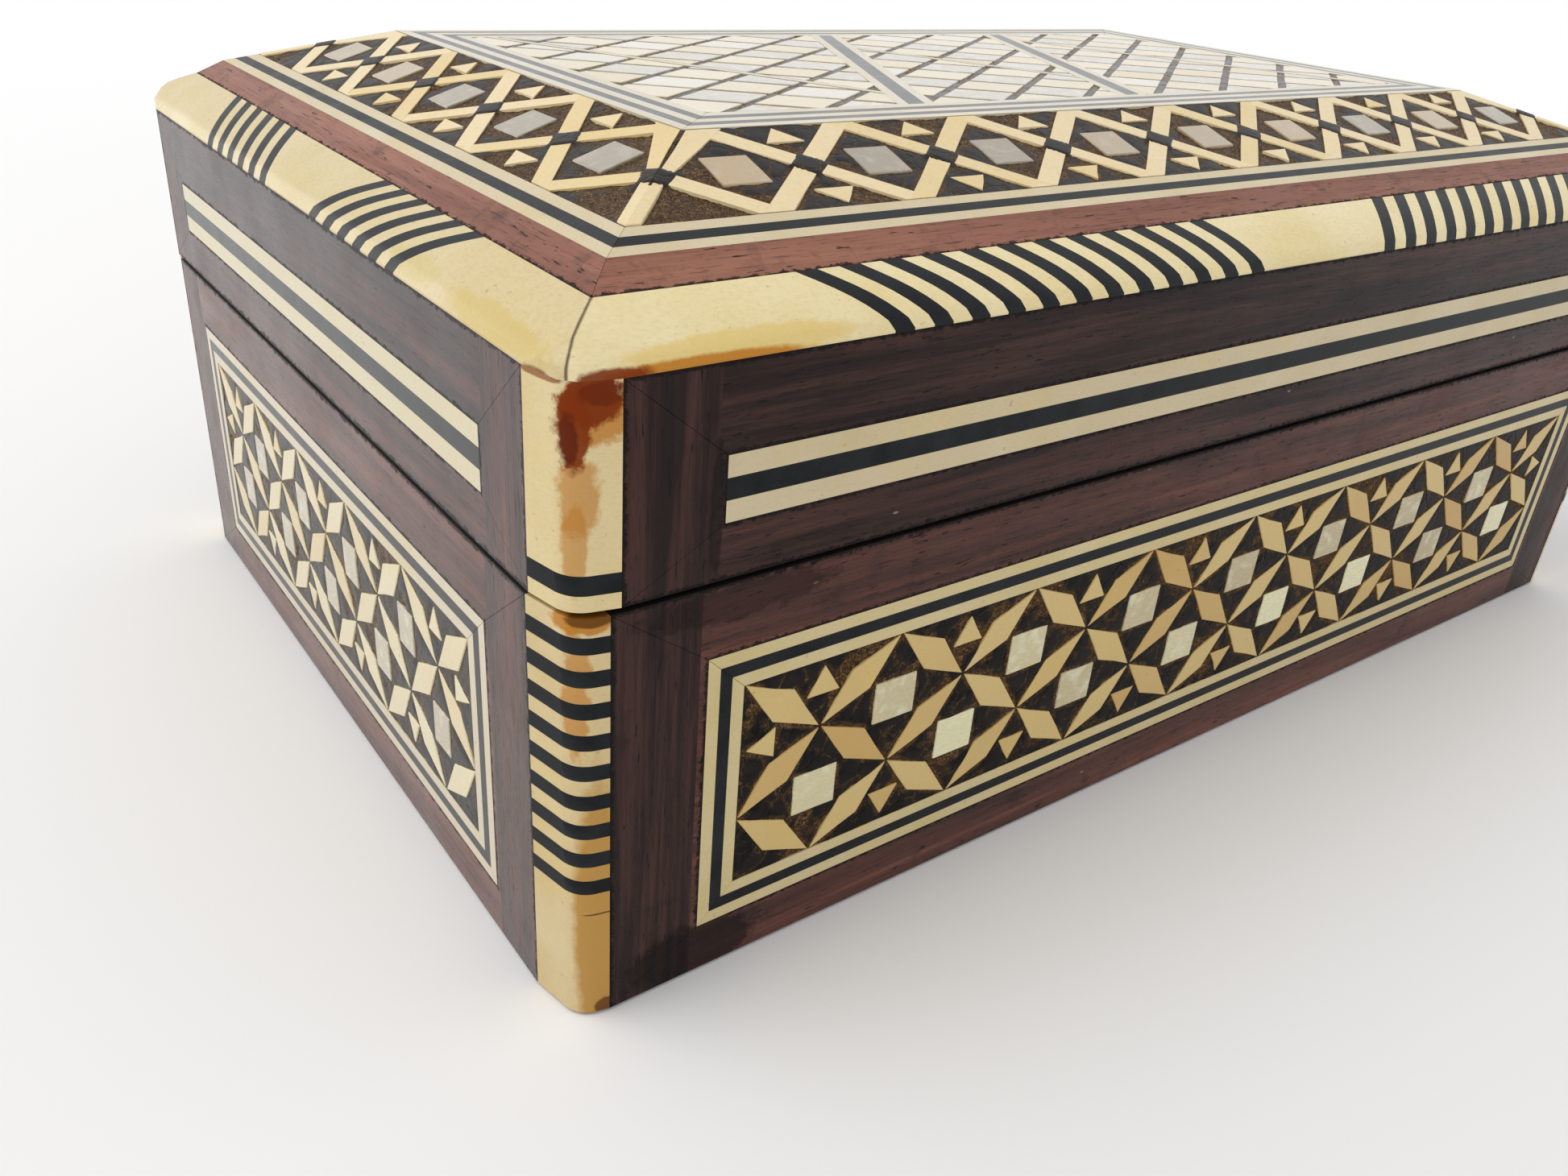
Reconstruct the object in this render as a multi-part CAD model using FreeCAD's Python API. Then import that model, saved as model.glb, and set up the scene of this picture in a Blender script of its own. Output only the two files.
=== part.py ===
import FreeCAD, Part
import math
import os

# An inlaid wooden box with a hinged, bevelled lid, in millimetres.
# +X runs along the front, -Y is the front, +Z is up and the origin is the middle of the underside.

# Overall size of the closed box
box_length = 150.0
box_depth = 98.5
base_height = 35.6
lid_side_height = 15.6
seam_gap = 0.4

# Carcass boards and linings
board = 5.5
corner_lap = 2.7
bottom_board = 4.0
bottom_rebate = 2.5
lining = 0.8
lining_drop = 1.0
skin = 1.2
skin_lift = 0.3
mitre_gap = 0.03
tessera = 0.4
tessera_gap = 0.15
smallest_tessera = 0.8

# Rosewood rails and stiles round the base panels, and the stringing inside them
base_rail_low = 4.85
base_rail_high = 5.8
base_stile_long = 11.3
base_stile_short = 12.4
base_line = 1.06

# Base mosaic: lattice cells along a long and a short side, rows of cells, and the pieces
long_cell_count = 8
short_cell_count = 5
lattice_row_count = 3
lozenge_half_width = 1.5
pearl_gap = 0.7
wedge_depth = 3.2
wedge_gap = 0.4
wedge_margin = 0.6

# Corner posts of bone and black bands: reach on each side, filed facets and a flat on the arris
base_post_long = 3.5
base_post_short = 5.3
lid_post_long = 4.3
lid_post_short = 4.8
post_facet_angle = 12.0
post_arris = 0.8
post_foot = 11.0
post_cap = 1.45
black_band_count = 9
lid_post_cap = 1.2
lid_post_band = 1.45

# Lid sides: lower rail, three broad lines and their distance from the corners
lid_rail_low = 4.3
lid_line = 1.63
lid_stile_long = 12.1
lid_stile_short = 11.7

# Lid top: a steep border, a shallower mosaic band and a flat panel
slope_run = 7.0
slope_rise = 4.7
band_run = 14.0
band_rise = 4.6
top_board_lap = 0.6
bone_run = 4.65
bevel_line = 0.97

# Bone edging of the lid: slanted joints, and stripes between corner and centre pieces
edge_corner_outer = 25.2
edge_corner_inner = 19.9
edge_centre_outer_long = 9.0
edge_centre_inner_long = 12.5
edge_centre_outer_short = 5.8
edge_centre_inner_short = 10.8
long_stripe_count = 12
short_stripe_count = 6

# Bevel mosaic: crossings along each side and the pieces round them
long_crossing_count = 9
short_crossing_count = 5
bar_width = 1.65
bevel_pearl_share = 0.4
bevel_wedge_depth = 2.4
bevel_wedge_gap = 0.7
bevel_wedge_margin = 0.5

# Top panel: frame lines, two slanting bands, thin lines and a lozenge field
frame_line = 1.15
frame_line_count = 5
slant_angle = 62.0
slant_offset = 14.3
slant_bone = 1.0
slant_black = 1.7
thin_line = 0.9
thin_line_angle = 118.0
field_pitch_x = 10.5
field_pitch_y = 7.7
field_gap = 0.7

# Brass butt hinges in the back rim
hinge_length = 22.0
hinge_from_end = 32.0
hinge_axis_inset = 2.2
hinge_leaf_width = 4.2
hinge_leaf = 0.8
knuckle_radius = 1.3
knuckle_side_count = 16
hinge_pin_radius = 0.6
hinge_pin_clearance = 0.05
hinge_clearance = 0.3
knuckle_gap = 0.2
lid_knuckle_share = 0.36
open_angle = 100.0
bevel_clearance = 0.35
nail_head_radius = 0.85
nail_head_depth = 0.5
nail_shank_radius = 0.4
nail_length = 4.2
nail_from_end = 4.0
nail_clearance = 0.03
nail_side_count = 6

# Heights and distances that follow from the sizes above
lid_low = base_height + seam_gap
edge_low = lid_low + lid_side_height
lid_ceiling = edge_low - top_board_lap
slope_tan = slope_rise / slope_run
edge_high = edge_low + skin * (1 - slope_tan)
band_start = slope_run
band_end = slope_run + band_run
mosaic_start = band_start + 3 * bevel_line
panel_start = band_end + frame_line_count * frame_line
lid_top = edge_high + slope_rise + band_rise
hinge_y = box_depth / 2 - hinge_axis_inset
hinge_z = base_height + seam_gap / 2
SIDES = ("front", "right", "back", "left")
Vec = FreeCAD.Vector


def side_length(side):
    return box_length if side in ("front", "back") else box_depth


def by_side(side, long_value, short_value):
    return long_value if side in ("front", "back") else short_value


def at(side, along, inset, height):
    """A point on one side: along it from its left end, inset from its face, at a height."""
    half_x, half_y = box_length / 2, box_depth / 2
    return {
        "front": Vec(along - half_x, inset - half_y, height),
        "right": Vec(half_x - inset, along - half_y, height),
        "back": Vec(half_x - along, half_y - inset, height),
        "left": Vec(inset - half_x, half_y - along, height),
    }[side]


def face(points):
    return Part.Face(Part.makePolygon(points + points[:1]))


def stack(rings):
    """A closed solid through rings of matching points."""
    faces = [face(rings[0]), face(rings[-1])]
    count = len(rings[0])
    for low, high in zip(rings, rings[1:]):
        for i in range(count):
            j = (i + 1) % count
            faces.append(face([low[i], low[j], high[j], high[i]]))
    solid = Part.makeSolid(Part.makeShell(faces))
    if solid.Volume < 0:
        solid.reverse()
    return solid


def block(low, high):
    size = high - low
    return Part.makeBox(size.x, size.y, size.z, low)


def side_slab(side, outline, inset, depth):
    """An outline of (along, height) points on a side, sunk from one inset to a deeper one."""
    push = at(side, 0, depth, 0) - at(side, 0, inset, 0)
    return face([at(side, s, inset, z) for s, z in outline]).extrude(push)


def lid_surface(inset):
    """Height of the lid's upper surface at a distance in from its edge."""
    if inset <= slope_run:
        return edge_high + slope_tan * inset
    return edge_high + slope_rise + band_rise * min(1, (inset - slope_run) / band_run)


def lid_slab(side, outline, upper=0.0, lower=None):
    """An outline of (along, inset) points on one slope of the lid, with depths below its surface."""
    lower = skin if lower is None else lower
    points = [at(side, s, d, lid_surface(d) - upper) for s, d in outline]
    return face(points).extrude(Vec(0, 0, upper - lower))


def inset_rect(rect, amount):
    s0, z0, s1, z1 = rect
    return (s0 + amount, z0 + amount, s1 - amount, z1 - amount)


def corners(rect):
    s0, z0, s1, z1 = rect
    return [(s0, z0), (s1, z0), (s1, z1), (s0, z1)]


def clip(outline, point, normal):
    """The part of a convex outline on the side of a line that its normal points to."""
    kept = []
    heights = [(x - point[0]) * normal[0] + (y - point[1]) * normal[1] for x, y in outline]
    for i, (a, ha) in enumerate(zip(outline, heights)):
        b, hb = outline[(i + 1) % len(outline)], heights[(i + 1) % len(outline)]
        if ha >= 0:
            kept.append(a)
        if ha * hb < 0:
            t = ha / (ha - hb)
            kept.append((a[0] + t * (b[0] - a[0]), a[1] + t * (b[1] - a[1])))
    return kept


def ease_joints(outline):
    """Draw a strip's second and fourth edges, its mitres, in by half a joint."""
    a, b, c, d = outline
    for start, end in ((b, c), (d, a)):
        nx, ny = start[1] - end[1], end[0] - start[0]
        shift = mitre_gap / 2 / math.hypot(nx, ny)
        outline = clip(outline, (start[0] + nx * shift, start[1] + ny * shift), (nx, ny))
    return outline


def mitred_frame(outer, inner):
    """Four mitred outlines between two rectangles."""
    a, b = corners(outer), corners(inner)
    return [ease_joints([a[i - 1], a[i], b[i], b[i - 1]]) for i in range(4)]


def mitred_strip(side, start, end):
    """The outline of one side's strip between two insets, mitred at both ends."""
    length = side_length(side)
    return ease_joints([(start, start), (length - start, start), (length - end, end), (end, end)])


def area(outline):
    total = 0
    for i, (x, y) in enumerate(outline):
        nx, ny = outline[(i + 1) % len(outline)]
        total += x * ny - nx * y
    return abs(total) / 2


def rectangle(x, y, width, height):
    return corners((x - width / 2, y - height / 2, x + width / 2, y + height / 2))


def lozenge(a, b, half_width, gap):
    """A rhombus whose sharp tips lie just short of two lattice nodes."""
    dx, dy = b[0] - a[0], b[1] - a[1]
    length = math.hypot(dx, dy)
    ux, uy = dx / length, dy / length
    mx, my = (a[0] + b[0]) / 2, (a[1] + b[1]) / 2
    return [
        (a[0] + gap * ux, a[1] + gap * uy),
        (mx - half_width * uy, my + half_width * ux),
        (b[0] - gap * ux, b[1] - gap * uy),
        (mx + half_width * uy, my - half_width * ux),
    ]


# Carcass

def hinge_places():
    reach = box_length / 2 - hinge_from_end
    return {"left": -reach, "right": reach}


def rim_bevel(up):
    """The wedge planed off the back rim of the base (up = 1) or of the lid (up = -1)."""
    run = hinge_axis_inset + board
    drop = bevel_clearance + run * math.tan(math.radians(open_angle / 2))
    x = box_length
    outline = [
        Vec(-x, hinge_y, hinge_z + up * run),
        Vec(-x, hinge_y, hinge_z - up * bevel_clearance),
        Vec(-x, hinge_y + run, hinge_z - up * drop),
        Vec(-x, hinge_y + run, hinge_z + up * run),
    ]
    return face(outline).extrude(Vec(2 * x, 0, 0))


def hinge_recess(x, up):
    """Room for one hinge in a back board: the leaf's mortise and the barrel's groove."""
    half = hinge_length / 2
    rim = hinge_z - up * seam_gap / 2
    floor = rim - up * hinge_leaf
    mortise = block(
        Vec(x - half, hinge_y - hinge_leaf_width, min(floor, hinge_z)),
        Vec(x + half, hinge_y, max(floor, hinge_z)),
    )
    reach = knuckle_radius + hinge_clearance
    room = Vec(half + hinge_clearance, reach, reach)
    axis = Vec(x, hinge_y, hinge_z)
    return mortise.fuse(block(axis - room, axis + room))


def nail_places(x):
    reach = hinge_length / 2 - nail_from_end
    y = hinge_y - (hinge_leaf_width + knuckle_radius) / 2
    return [(x - reach, y), (x + reach, y)]


def ring(radius, count):
    """Corners of a regular outline round the origin."""
    turns = [2 * math.pi * i / count for i in range(count)]
    return [(radius * math.cos(a), radius * math.sin(a)) for a in turns]


def nail(x, y, up, clearance=0.0):
    """A countersunk nail driven from the rim into a back board."""
    rim = hinge_z - up * seam_gap / 2
    shank = nail_shank_radius + clearance
    levels = [
        (nail_head_radius + clearance, rim),
        (shank, rim - up * nail_head_depth),
        (shank, rim - up * (nail_length + clearance)),
    ]
    return stack([[Vec(x + u, y + v, z) for u, v in ring(r, nail_side_count)] for r, z in levels])


def wall_boards(low, high):
    """Four boards lapped at the corners: the long ones are rebated for the short ones."""
    x, y = box_length / 2 - skin, box_depth / 2 - skin
    boards = {
        "front": block(Vec(-x, -y, low), Vec(x, -y + board, high)),
        "back": block(Vec(-x, y - board, low), Vec(x, y, high)),
    }
    reach = y - board + corner_lap
    boards["left"] = block(Vec(-x, -reach, low), Vec(-x + board, reach, high))
    boards["right"] = block(Vec(x - board, -reach, low), Vec(x, reach, high))
    ends = boards["left"].fuse(boards["right"])
    for side in ("front", "back"):
        boards[side] = boards[side].cut(ends)
    return boards


def let_in_hinges(shape, up):
    """Plane the back rim's bevel and cut the hinge recesses and nail holes."""
    shape = shape.cut(rim_bevel(up))
    for x in hinge_places().values():
        shape = shape.cut(hinge_recess(x, up))
        for nx, ny in nail_places(x):
            shape = shape.cut(nail(nx, ny, up, nail_clearance))
    return shape


def post_face(long_reach, short_reach):
    """A corner post's two filed facets and the flat on the arris between them.

    The post's sharp corner would be at the origin, with its sides along +X and +Y."""
    t = math.tan(math.radians(post_facet_angle))
    arris = Vec(t * (short_reach - t * long_reach), t * (long_reach - t * short_reach), 0)
    arris = arris / (1 - t * t)
    first, last = Vec(long_reach, 0, 0), Vec(0, short_reach, 0)
    flat = [arris + (end - arris).normalize() * post_arris for end in (first, last)]
    return [first] + flat + [last]


def post_section(long_reach, short_reach):
    """Plan of a corner post: its filed face and a flat back glued to the planed corner."""
    back = [Vec(skin, short_reach, 0), Vec(long_reach, skin, 0)]
    return face(post_face(long_reach, short_reach) + back)


def corner_waste(long_reach, short_reach):
    """Plan of what filing takes off a sharp corner."""
    return face([Vec(0, 0, 0)] + post_face(long_reach, short_reach))


def at_corners(section, low, high):
    """A plan extruded at the front left corner and mirrored to the other three."""
    section.translate(Vec(-box_length / 2, -box_depth / 2, low))
    first = section.extrude(Vec(0, 0, high - low))
    centre = Vec(0, 0, 0)
    pair = [first, first.mirror(centre, Vec(1, 0, 0))]
    return pair + [shape.mirror(centre, Vec(0, 1, 0)) for shape in pair]


def posts(long_reach, short_reach, low, high):
    """One stretch of all four corner posts."""
    return at_corners(post_section(long_reach, short_reach), low, high)


def base_carcass():
    boards = wall_boards(0, base_height)
    x = box_length / 2 - skin - board + bottom_rebate
    y = box_depth / 2 - skin - board + bottom_rebate
    bottom = block(Vec(-x, -y, 0), Vec(x, y, bottom_board))
    seats = Part.makeCompound(posts(base_post_long, base_post_short, 0, base_height))
    nodes = {"base_bottom_board": bottom}
    for side, shape in boards.items():
        nodes["base_%s_board" % side] = shape.cut(bottom).cut(seats)
    nodes["base_back_board"] = let_in_hinges(nodes["base_back_board"], 1)
    return nodes


def lid_carcass():
    boards = wall_boards(lid_low, lid_ceiling)
    seats = Part.makeCompound(posts(lid_post_long, lid_post_short, lid_low, edge_low))
    nodes = {"lid_%s_board" % side: shape.cut(seats) for side, shape in boards.items()}
    nodes["lid_back_board"] = let_in_hinges(nodes["lid_back_board"], -1)
    levels = [
        (skin, lid_ceiling),
        (skin, edge_low),
        (slope_run, lid_surface(slope_run) - skin),
        (band_end, lid_top - skin),
    ]
    rings = []
    for inset, height in levels:
        x, y = box_length / 2 - inset, box_depth / 2 - inset
        rings.append([Vec(-x, -y, height), Vec(x, -y, height), Vec(x, y, height), Vec(-x, y, height)])
    nodes["lid_top_board"] = stack(rings).cut(seats)
    return nodes


def wall_lining(low, high):
    """Four strips of cloth-covered card against the inner faces of the walls."""
    x, y = box_length / 2 - skin - board, box_depth / 2 - skin - board
    return [
        block(Vec(-x, -y, low), Vec(x, -y + lining, high)),
        block(Vec(-x, y - lining, low), Vec(x, y, high)),
        block(Vec(-x, -y + lining, low), Vec(-x + lining, y - lining, high)),
        block(Vec(x - lining, -y + lining, low), Vec(x, y - lining, high)),
    ]


def linings():
    x, y = box_length / 2 - skin - board, box_depth / 2 - skin - board
    floor = bottom_board + lining
    ceiling = lid_ceiling - lining
    return {
        "base_floor_lining": block(Vec(-x, -y, bottom_board), Vec(x, y, floor)),
        "base_wall_lining": wall_lining(floor, base_height - lining_drop),
        "lid_ceiling_lining": block(Vec(-x, -y, ceiling), Vec(x, y, lid_ceiling)),
        "lid_wall_lining": wall_lining(lid_low + lining_drop, ceiling),
    }


# Base sides

def base_panel(side):
    """The rectangle inside the rosewood of one side of the base."""
    stile = by_side(side, base_stile_long, base_stile_short)
    return (stile, base_rail_low, side_length(side) - stile, base_height - base_rail_high)


def base_rosewood(side):
    post = by_side(side, base_post_long, base_post_short)
    outer = (post, skin_lift, side_length(side) - post, base_height)
    strips = [side_slab(side, o, 0, skin) for o in mitred_frame(outer, base_panel(side))]
    if side == "back":
        strips = [strip.cut(rim_bevel(1)) for strip in strips]
    return strips


def base_stringing(side, lines):
    """The lines, counted from outside, of a side's three-line stringing."""
    strips = []
    for line in lines:
        outer = inset_rect(base_panel(side), line * base_line)
        strips += mitred_frame(outer, inset_rect(outer, base_line))
    return [side_slab(side, outline, 0, skin) for outline in strips]


def base_mosaic_field(side):
    return inset_rect(base_panel(side), 3 * base_line)


def base_lattice(side):
    """Lozenge, pearl and wedge outlines of one side's lattice."""
    s0, z0, s1, z1 = base_mosaic_field(side)
    cells = by_side(side, long_cell_count, short_cell_count)
    half = (s1 - s0) / cells / 2
    row = (z1 - z0) / lattice_row_count
    end = 2 * cells

    def node(i, j):
        return (s0 + i * half, z1 - j * row)

    reach = math.hypot(half, row)
    notch_s = half / 2 - lozenge_half_width * row / reach
    notch_z = row / 2 - lozenge_half_width * half / reach

    def wedge(i, j, out_s, out_z):
        """A triangle in the half cell at a border node, pointing out of the field."""
        s, z = node(i, j)
        tip = (s - wedge_margin * out_s, z - wedge_margin * out_z)
        foot = (s - wedge_depth * out_s, z - wedge_depth * out_z)
        across_s = notch_s * (row - wedge_depth) / (row - notch_z) - wedge_gap
        across_z = notch_z * (half - wedge_depth) / (half - notch_s) - wedge_gap
        ds, dz = across_s * abs(out_z), across_z * abs(out_s)
        return [tip, (foot[0] - ds, foot[1] - dz), (foot[0] + ds, foot[1] + dz)]

    bone, pearl = [], []
    for j in range(lattice_row_count):
        for i in range(end):
            falling = (i + j) % 2 == 0
            a, b = (node(i, j), node(i + 1, j + 1)) if falling else (node(i, j + 1), node(i + 1, j))
            bone.append(lozenge(a, b, lozenge_half_width, tessera_gap))
    for j in range(1, lattice_row_count):
        for i in range(1, end):
            if (i + j) % 2 == 1:
                pearl.append(rectangle(*node(i, j), 2 * (notch_s - pearl_gap), 2 * notch_z))
        for i, out in ((0, -1), (end, 1)):
            if (i + j) % 2 == 1:
                bone.append(wedge(i, j, out, 0))
    for i in range(1, end):
        if i % 2 == 1:
            bone.append(wedge(i, 0, 0, 1))
        elif (i + lattice_row_count) % 2 == 1:
            bone.append(wedge(i, lattice_row_count, 0, -1))
    return bone, pearl


def base_sides():
    nodes = {"base_bone_stringing": [], "base_black_stringing": []}
    nodes.update({"base_mosaic_ground": [], "base_pearl_mosaic": []})
    for side in SIDES:
        bone, pearl = base_lattice(side)
        nodes["base_%s_rosewood" % side] = base_rosewood(side)
        nodes["base_bone_stringing"] += base_stringing(side, (0, 2))
        nodes["base_black_stringing"] += base_stringing(side, (1,))
        field = corners(base_mosaic_field(side))
        nodes["base_mosaic_ground"].append(side_slab(side, field, tessera, skin))
        nodes["base_%s_bone_mosaic" % side] = [side_slab(side, o, 0, tessera) for o in bone]
        nodes["base_pearl_mosaic"] += [side_slab(side, o, 0, tessera) for o in pearl]
    return nodes


def base_posts():
    """Bone foot and cap with black and bone bands between."""
    bands = 2 * black_band_count
    step = (base_height - post_cap - post_foot) / bands
    heights = [skin_lift] + [post_foot + i * step for i in range(bands + 1)] + [base_height]
    bone, black = [], []
    for i, (low, high) in enumerate(zip(heights, heights[1:])):
        target = black if i > 0 and i % 2 == 0 else bone
        target += posts(base_post_long, base_post_short, low, high)
    return {"base_corner_bone": bone, "base_corner_black": black}


# Lid sides

def lid_panel(side):
    stile = by_side(side, lid_stile_long, lid_stile_short)
    low = lid_low + lid_rail_low
    return (stile, low, side_length(side) - stile, low + 3 * lid_line)


def lid_rosewood(side):
    post = by_side(side, lid_post_long, lid_post_short)
    outer = (post, lid_low, side_length(side) - post, edge_low)
    strips = [side_slab(side, o, 0, skin) for o in mitred_frame(outer, lid_panel(side))]
    if side == "back":
        strips = [strip.cut(rim_bevel(-1)) for strip in strips]
    return strips


def lid_lines(side, lines):
    s0, z0, s1, _ = lid_panel(side)
    shapes = []
    for line in lines:
        rect = (s0, z0 + line * lid_line, s1, z0 + (line + 1) * lid_line)
        shapes.append(side_slab(side, corners(rect), 0, skin))
    return shapes


def lid_sides():
    nodes = {"lid_side_bone_lines": [], "lid_side_black_lines": []}
    for side in SIDES:
        nodes["lid_%s_rosewood" % side] = lid_rosewood(side)
        nodes["lid_side_bone_lines"] += lid_lines(side, (0, 2))
        nodes["lid_side_black_lines"] += lid_lines(side, (1,))
    heights = [lid_low, lid_low + lid_post_cap, lid_low + lid_post_cap + lid_post_band, edge_low]
    stretches = [posts(lid_post_long, lid_post_short, a, b) for a, b in zip(heights, heights[1:])]
    nodes["lid_corner_bone"] = stretches[0] + stretches[2]
    nodes["lid_corner_black"] = stretches[1]
    return nodes


# Lid top

def edge_piece(side, start, end):
    """A length of bone edging between two slanted joints, each given at its outer and inner edge."""
    section = [
        (0, edge_low),
        (0, edge_high),
        (bone_run, lid_surface(bone_run)),
        (bone_run, lid_surface(bone_run) - skin),
        (skin, edge_low),
    ]
    rings = []
    for outer, inner in (start, end):
        cut = []
        for inset, height in section:
            along = outer + (inner - outer) * inset / bone_run
            cut.append(at(side, along, inset, height))
        rings.append(cut)
    return stack(rings)


def lid_edging(side):
    """Corner and centre pieces of bone with black and bone stripes between them."""
    length = side_length(side)
    middle = length / 2
    stripes = 2 * by_side(side, long_stripe_count, short_stripe_count) - 1
    corner = (edge_corner_outer, edge_corner_inner)
    centre = (
        middle - by_side(side, edge_centre_outer_long, edge_centre_outer_short),
        middle - by_side(side, edge_centre_inner_long, edge_centre_inner_short),
    )
    shift = mitre_gap / math.sqrt(2)
    joints = [(shift, bone_run + shift)]
    for i in range(stripes + 1):
        joints.append(tuple(a + (b - a) * i / stripes for a, b in zip(corner, centre)))
    joints += [(length - outer, length - inner) for outer, inner in reversed(joints)]
    bone, black = [], []
    for i, (start, end) in enumerate(zip(joints, joints[1:])):
        in_first = 0 < i <= stripes
        in_second = stripes + 1 < i < len(joints) - 2
        count = i - 1 if in_first else i - stripes - 2
        dark = (in_first or in_second) and count % 2 == 0
        (black if dark else bone).append(edge_piece(side, start, end))
    waste = at_corners(corner_waste(lid_post_long, lid_post_short), edge_low, lid_top)
    for end in (0, -1):
        bone[end] = bone[end].cut(Part.makeCompound(waste))
    return bone, black


def band_pieces(side):
    """Bars, wedges and pearl rectangles of one side's bevel mosaic, as (along, inset) outlines."""
    length = side_length(side)
    cells = by_side(side, long_crossing_count, short_crossing_count)
    middle = (mosaic_start + band_end) / 2
    step = (length - 2 * middle) / cells
    half, rise = step / 2, (band_end - mosaic_start) / 2
    diagonal = math.hypot(half, rise)
    half_bar = bar_width / 2
    bar_along = half_bar * diagonal / rise
    bar_across = half_bar * diagonal / half
    bone, pearl = [], []

    def keep(outline):
        """Trim an outline to the band and to the mitres at its ends."""
        outline = clip(outline, (0, mosaic_start + tessera_gap), (0, 1))
        outline = clip(outline, (0, band_end - tessera_gap), (0, -1))
        outline = clip(outline, (tessera_gap, 0), (1, -1))
        outline = clip(outline, (length - tessera_gap, 0), (-1, -1))
        if len(outline) > 2 and area(outline) > smallest_tessera:
            bone.append(outline)

    def bar(s, right, up):
        """A bar from the dark square at a crossing outwards, cut along the square's side."""
        far_s, far_d = s + right * step, middle + up * 2 * rise
        outline = [
            (s - bar_along, middle),
            (s + bar_along, middle),
            (far_s + bar_along, far_d),
            (far_s - bar_along, far_d),
        ]
        return clip(outline, (s + right * bar_along, middle), (right * rise, up * half))

    def wedge(s, border, inward):
        """A triangle in a half cell, pointing at the border."""
        foot = border + inward * bevel_wedge_depth
        spread = half * (rise - bevel_wedge_depth) / rise - bar_along - bevel_wedge_gap
        return [(s, border + inward * bevel_wedge_margin), (s - spread, foot), (s + spread, foot)]

    for k in range(cells + 1):
        s = middle + k * step
        for right in (-1, 1):
            for up in (-1, 1):
                keep(bar(s, right, up))
        if 0 < k < cells:
            bone += [wedge(s, mosaic_start, 1), wedge(s, band_end, -1)]
        if k < cells:
            width = 2 * bevel_pearl_share * (half - bar_along)
            depth = 2 * bevel_pearl_share * (rise - bar_across)
            pearl.append(rectangle(s + half, middle, width, depth))
    return bone, pearl


def lid_bevel():
    nodes = {
        name: []
        for name in (
            "lid_edge_bone", "lid_edge_black", "lid_bevel_rosewood",
            "lid_bevel_bone_stringing", "lid_bevel_black_stringing",
            "lid_band_ground", "lid_band_bone_mosaic", "lid_band_pearl_mosaic",
            "lid_frame_bone", "lid_frame_black")
    }
    for side in SIDES:
        bone, black = lid_edging(side)
        nodes["lid_edge_bone"] += bone
        nodes["lid_edge_black"] += black
        nodes["lid_bevel_rosewood"].append(lid_slab(side, mitred_strip(side, bone_run, slope_run)))
        for line in range(3):
            start = band_start + line * bevel_line
            name = "lid_bevel_black_stringing" if line == 1 else "lid_bevel_bone_stringing"
            nodes[name].append(lid_slab(side, mitred_strip(side, start, start + bevel_line)))
        ground = mitred_strip(side, mosaic_start, band_end)
        nodes["lid_band_ground"].append(lid_slab(side, ground, tessera, skin))
        bars, squares = band_pieces(side)
        nodes["lid_band_bone_mosaic"] += [lid_slab(side, o, 0, tessera) for o in bars]
        nodes["lid_band_pearl_mosaic"] += [lid_slab(side, o, 0, tessera) for o in squares]
        for line in range(frame_line_count):
            start = band_end + line * frame_line
            name = "lid_frame_black" if line % 2 else "lid_frame_bone"
            nodes[name].append(lid_slab(side, mitred_strip(side, start, start + frame_line)))
    return nodes


def panel_slab(outline, upper, lower):
    points = [Vec(x, y, lid_top - upper) for x, y in outline]
    return face(points).extrude(Vec(0, 0, upper - lower))


def across(x, angle):
    """A point on the panel's long axis and the unit normal, to the right, of a line through it."""
    a = math.radians(angle)
    return (x, 0), (math.sin(a), -math.cos(a))


def strip_between(outline, line, start, end):
    """The part of an outline between two parallels of a line, measured along its normal."""
    (x, y), (nx, ny) = line
    outline = clip(outline, (x + nx * start, y + ny * start), (nx, ny))
    return clip(outline, (x + nx * end, y + ny * end), (-nx, -ny))


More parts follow.
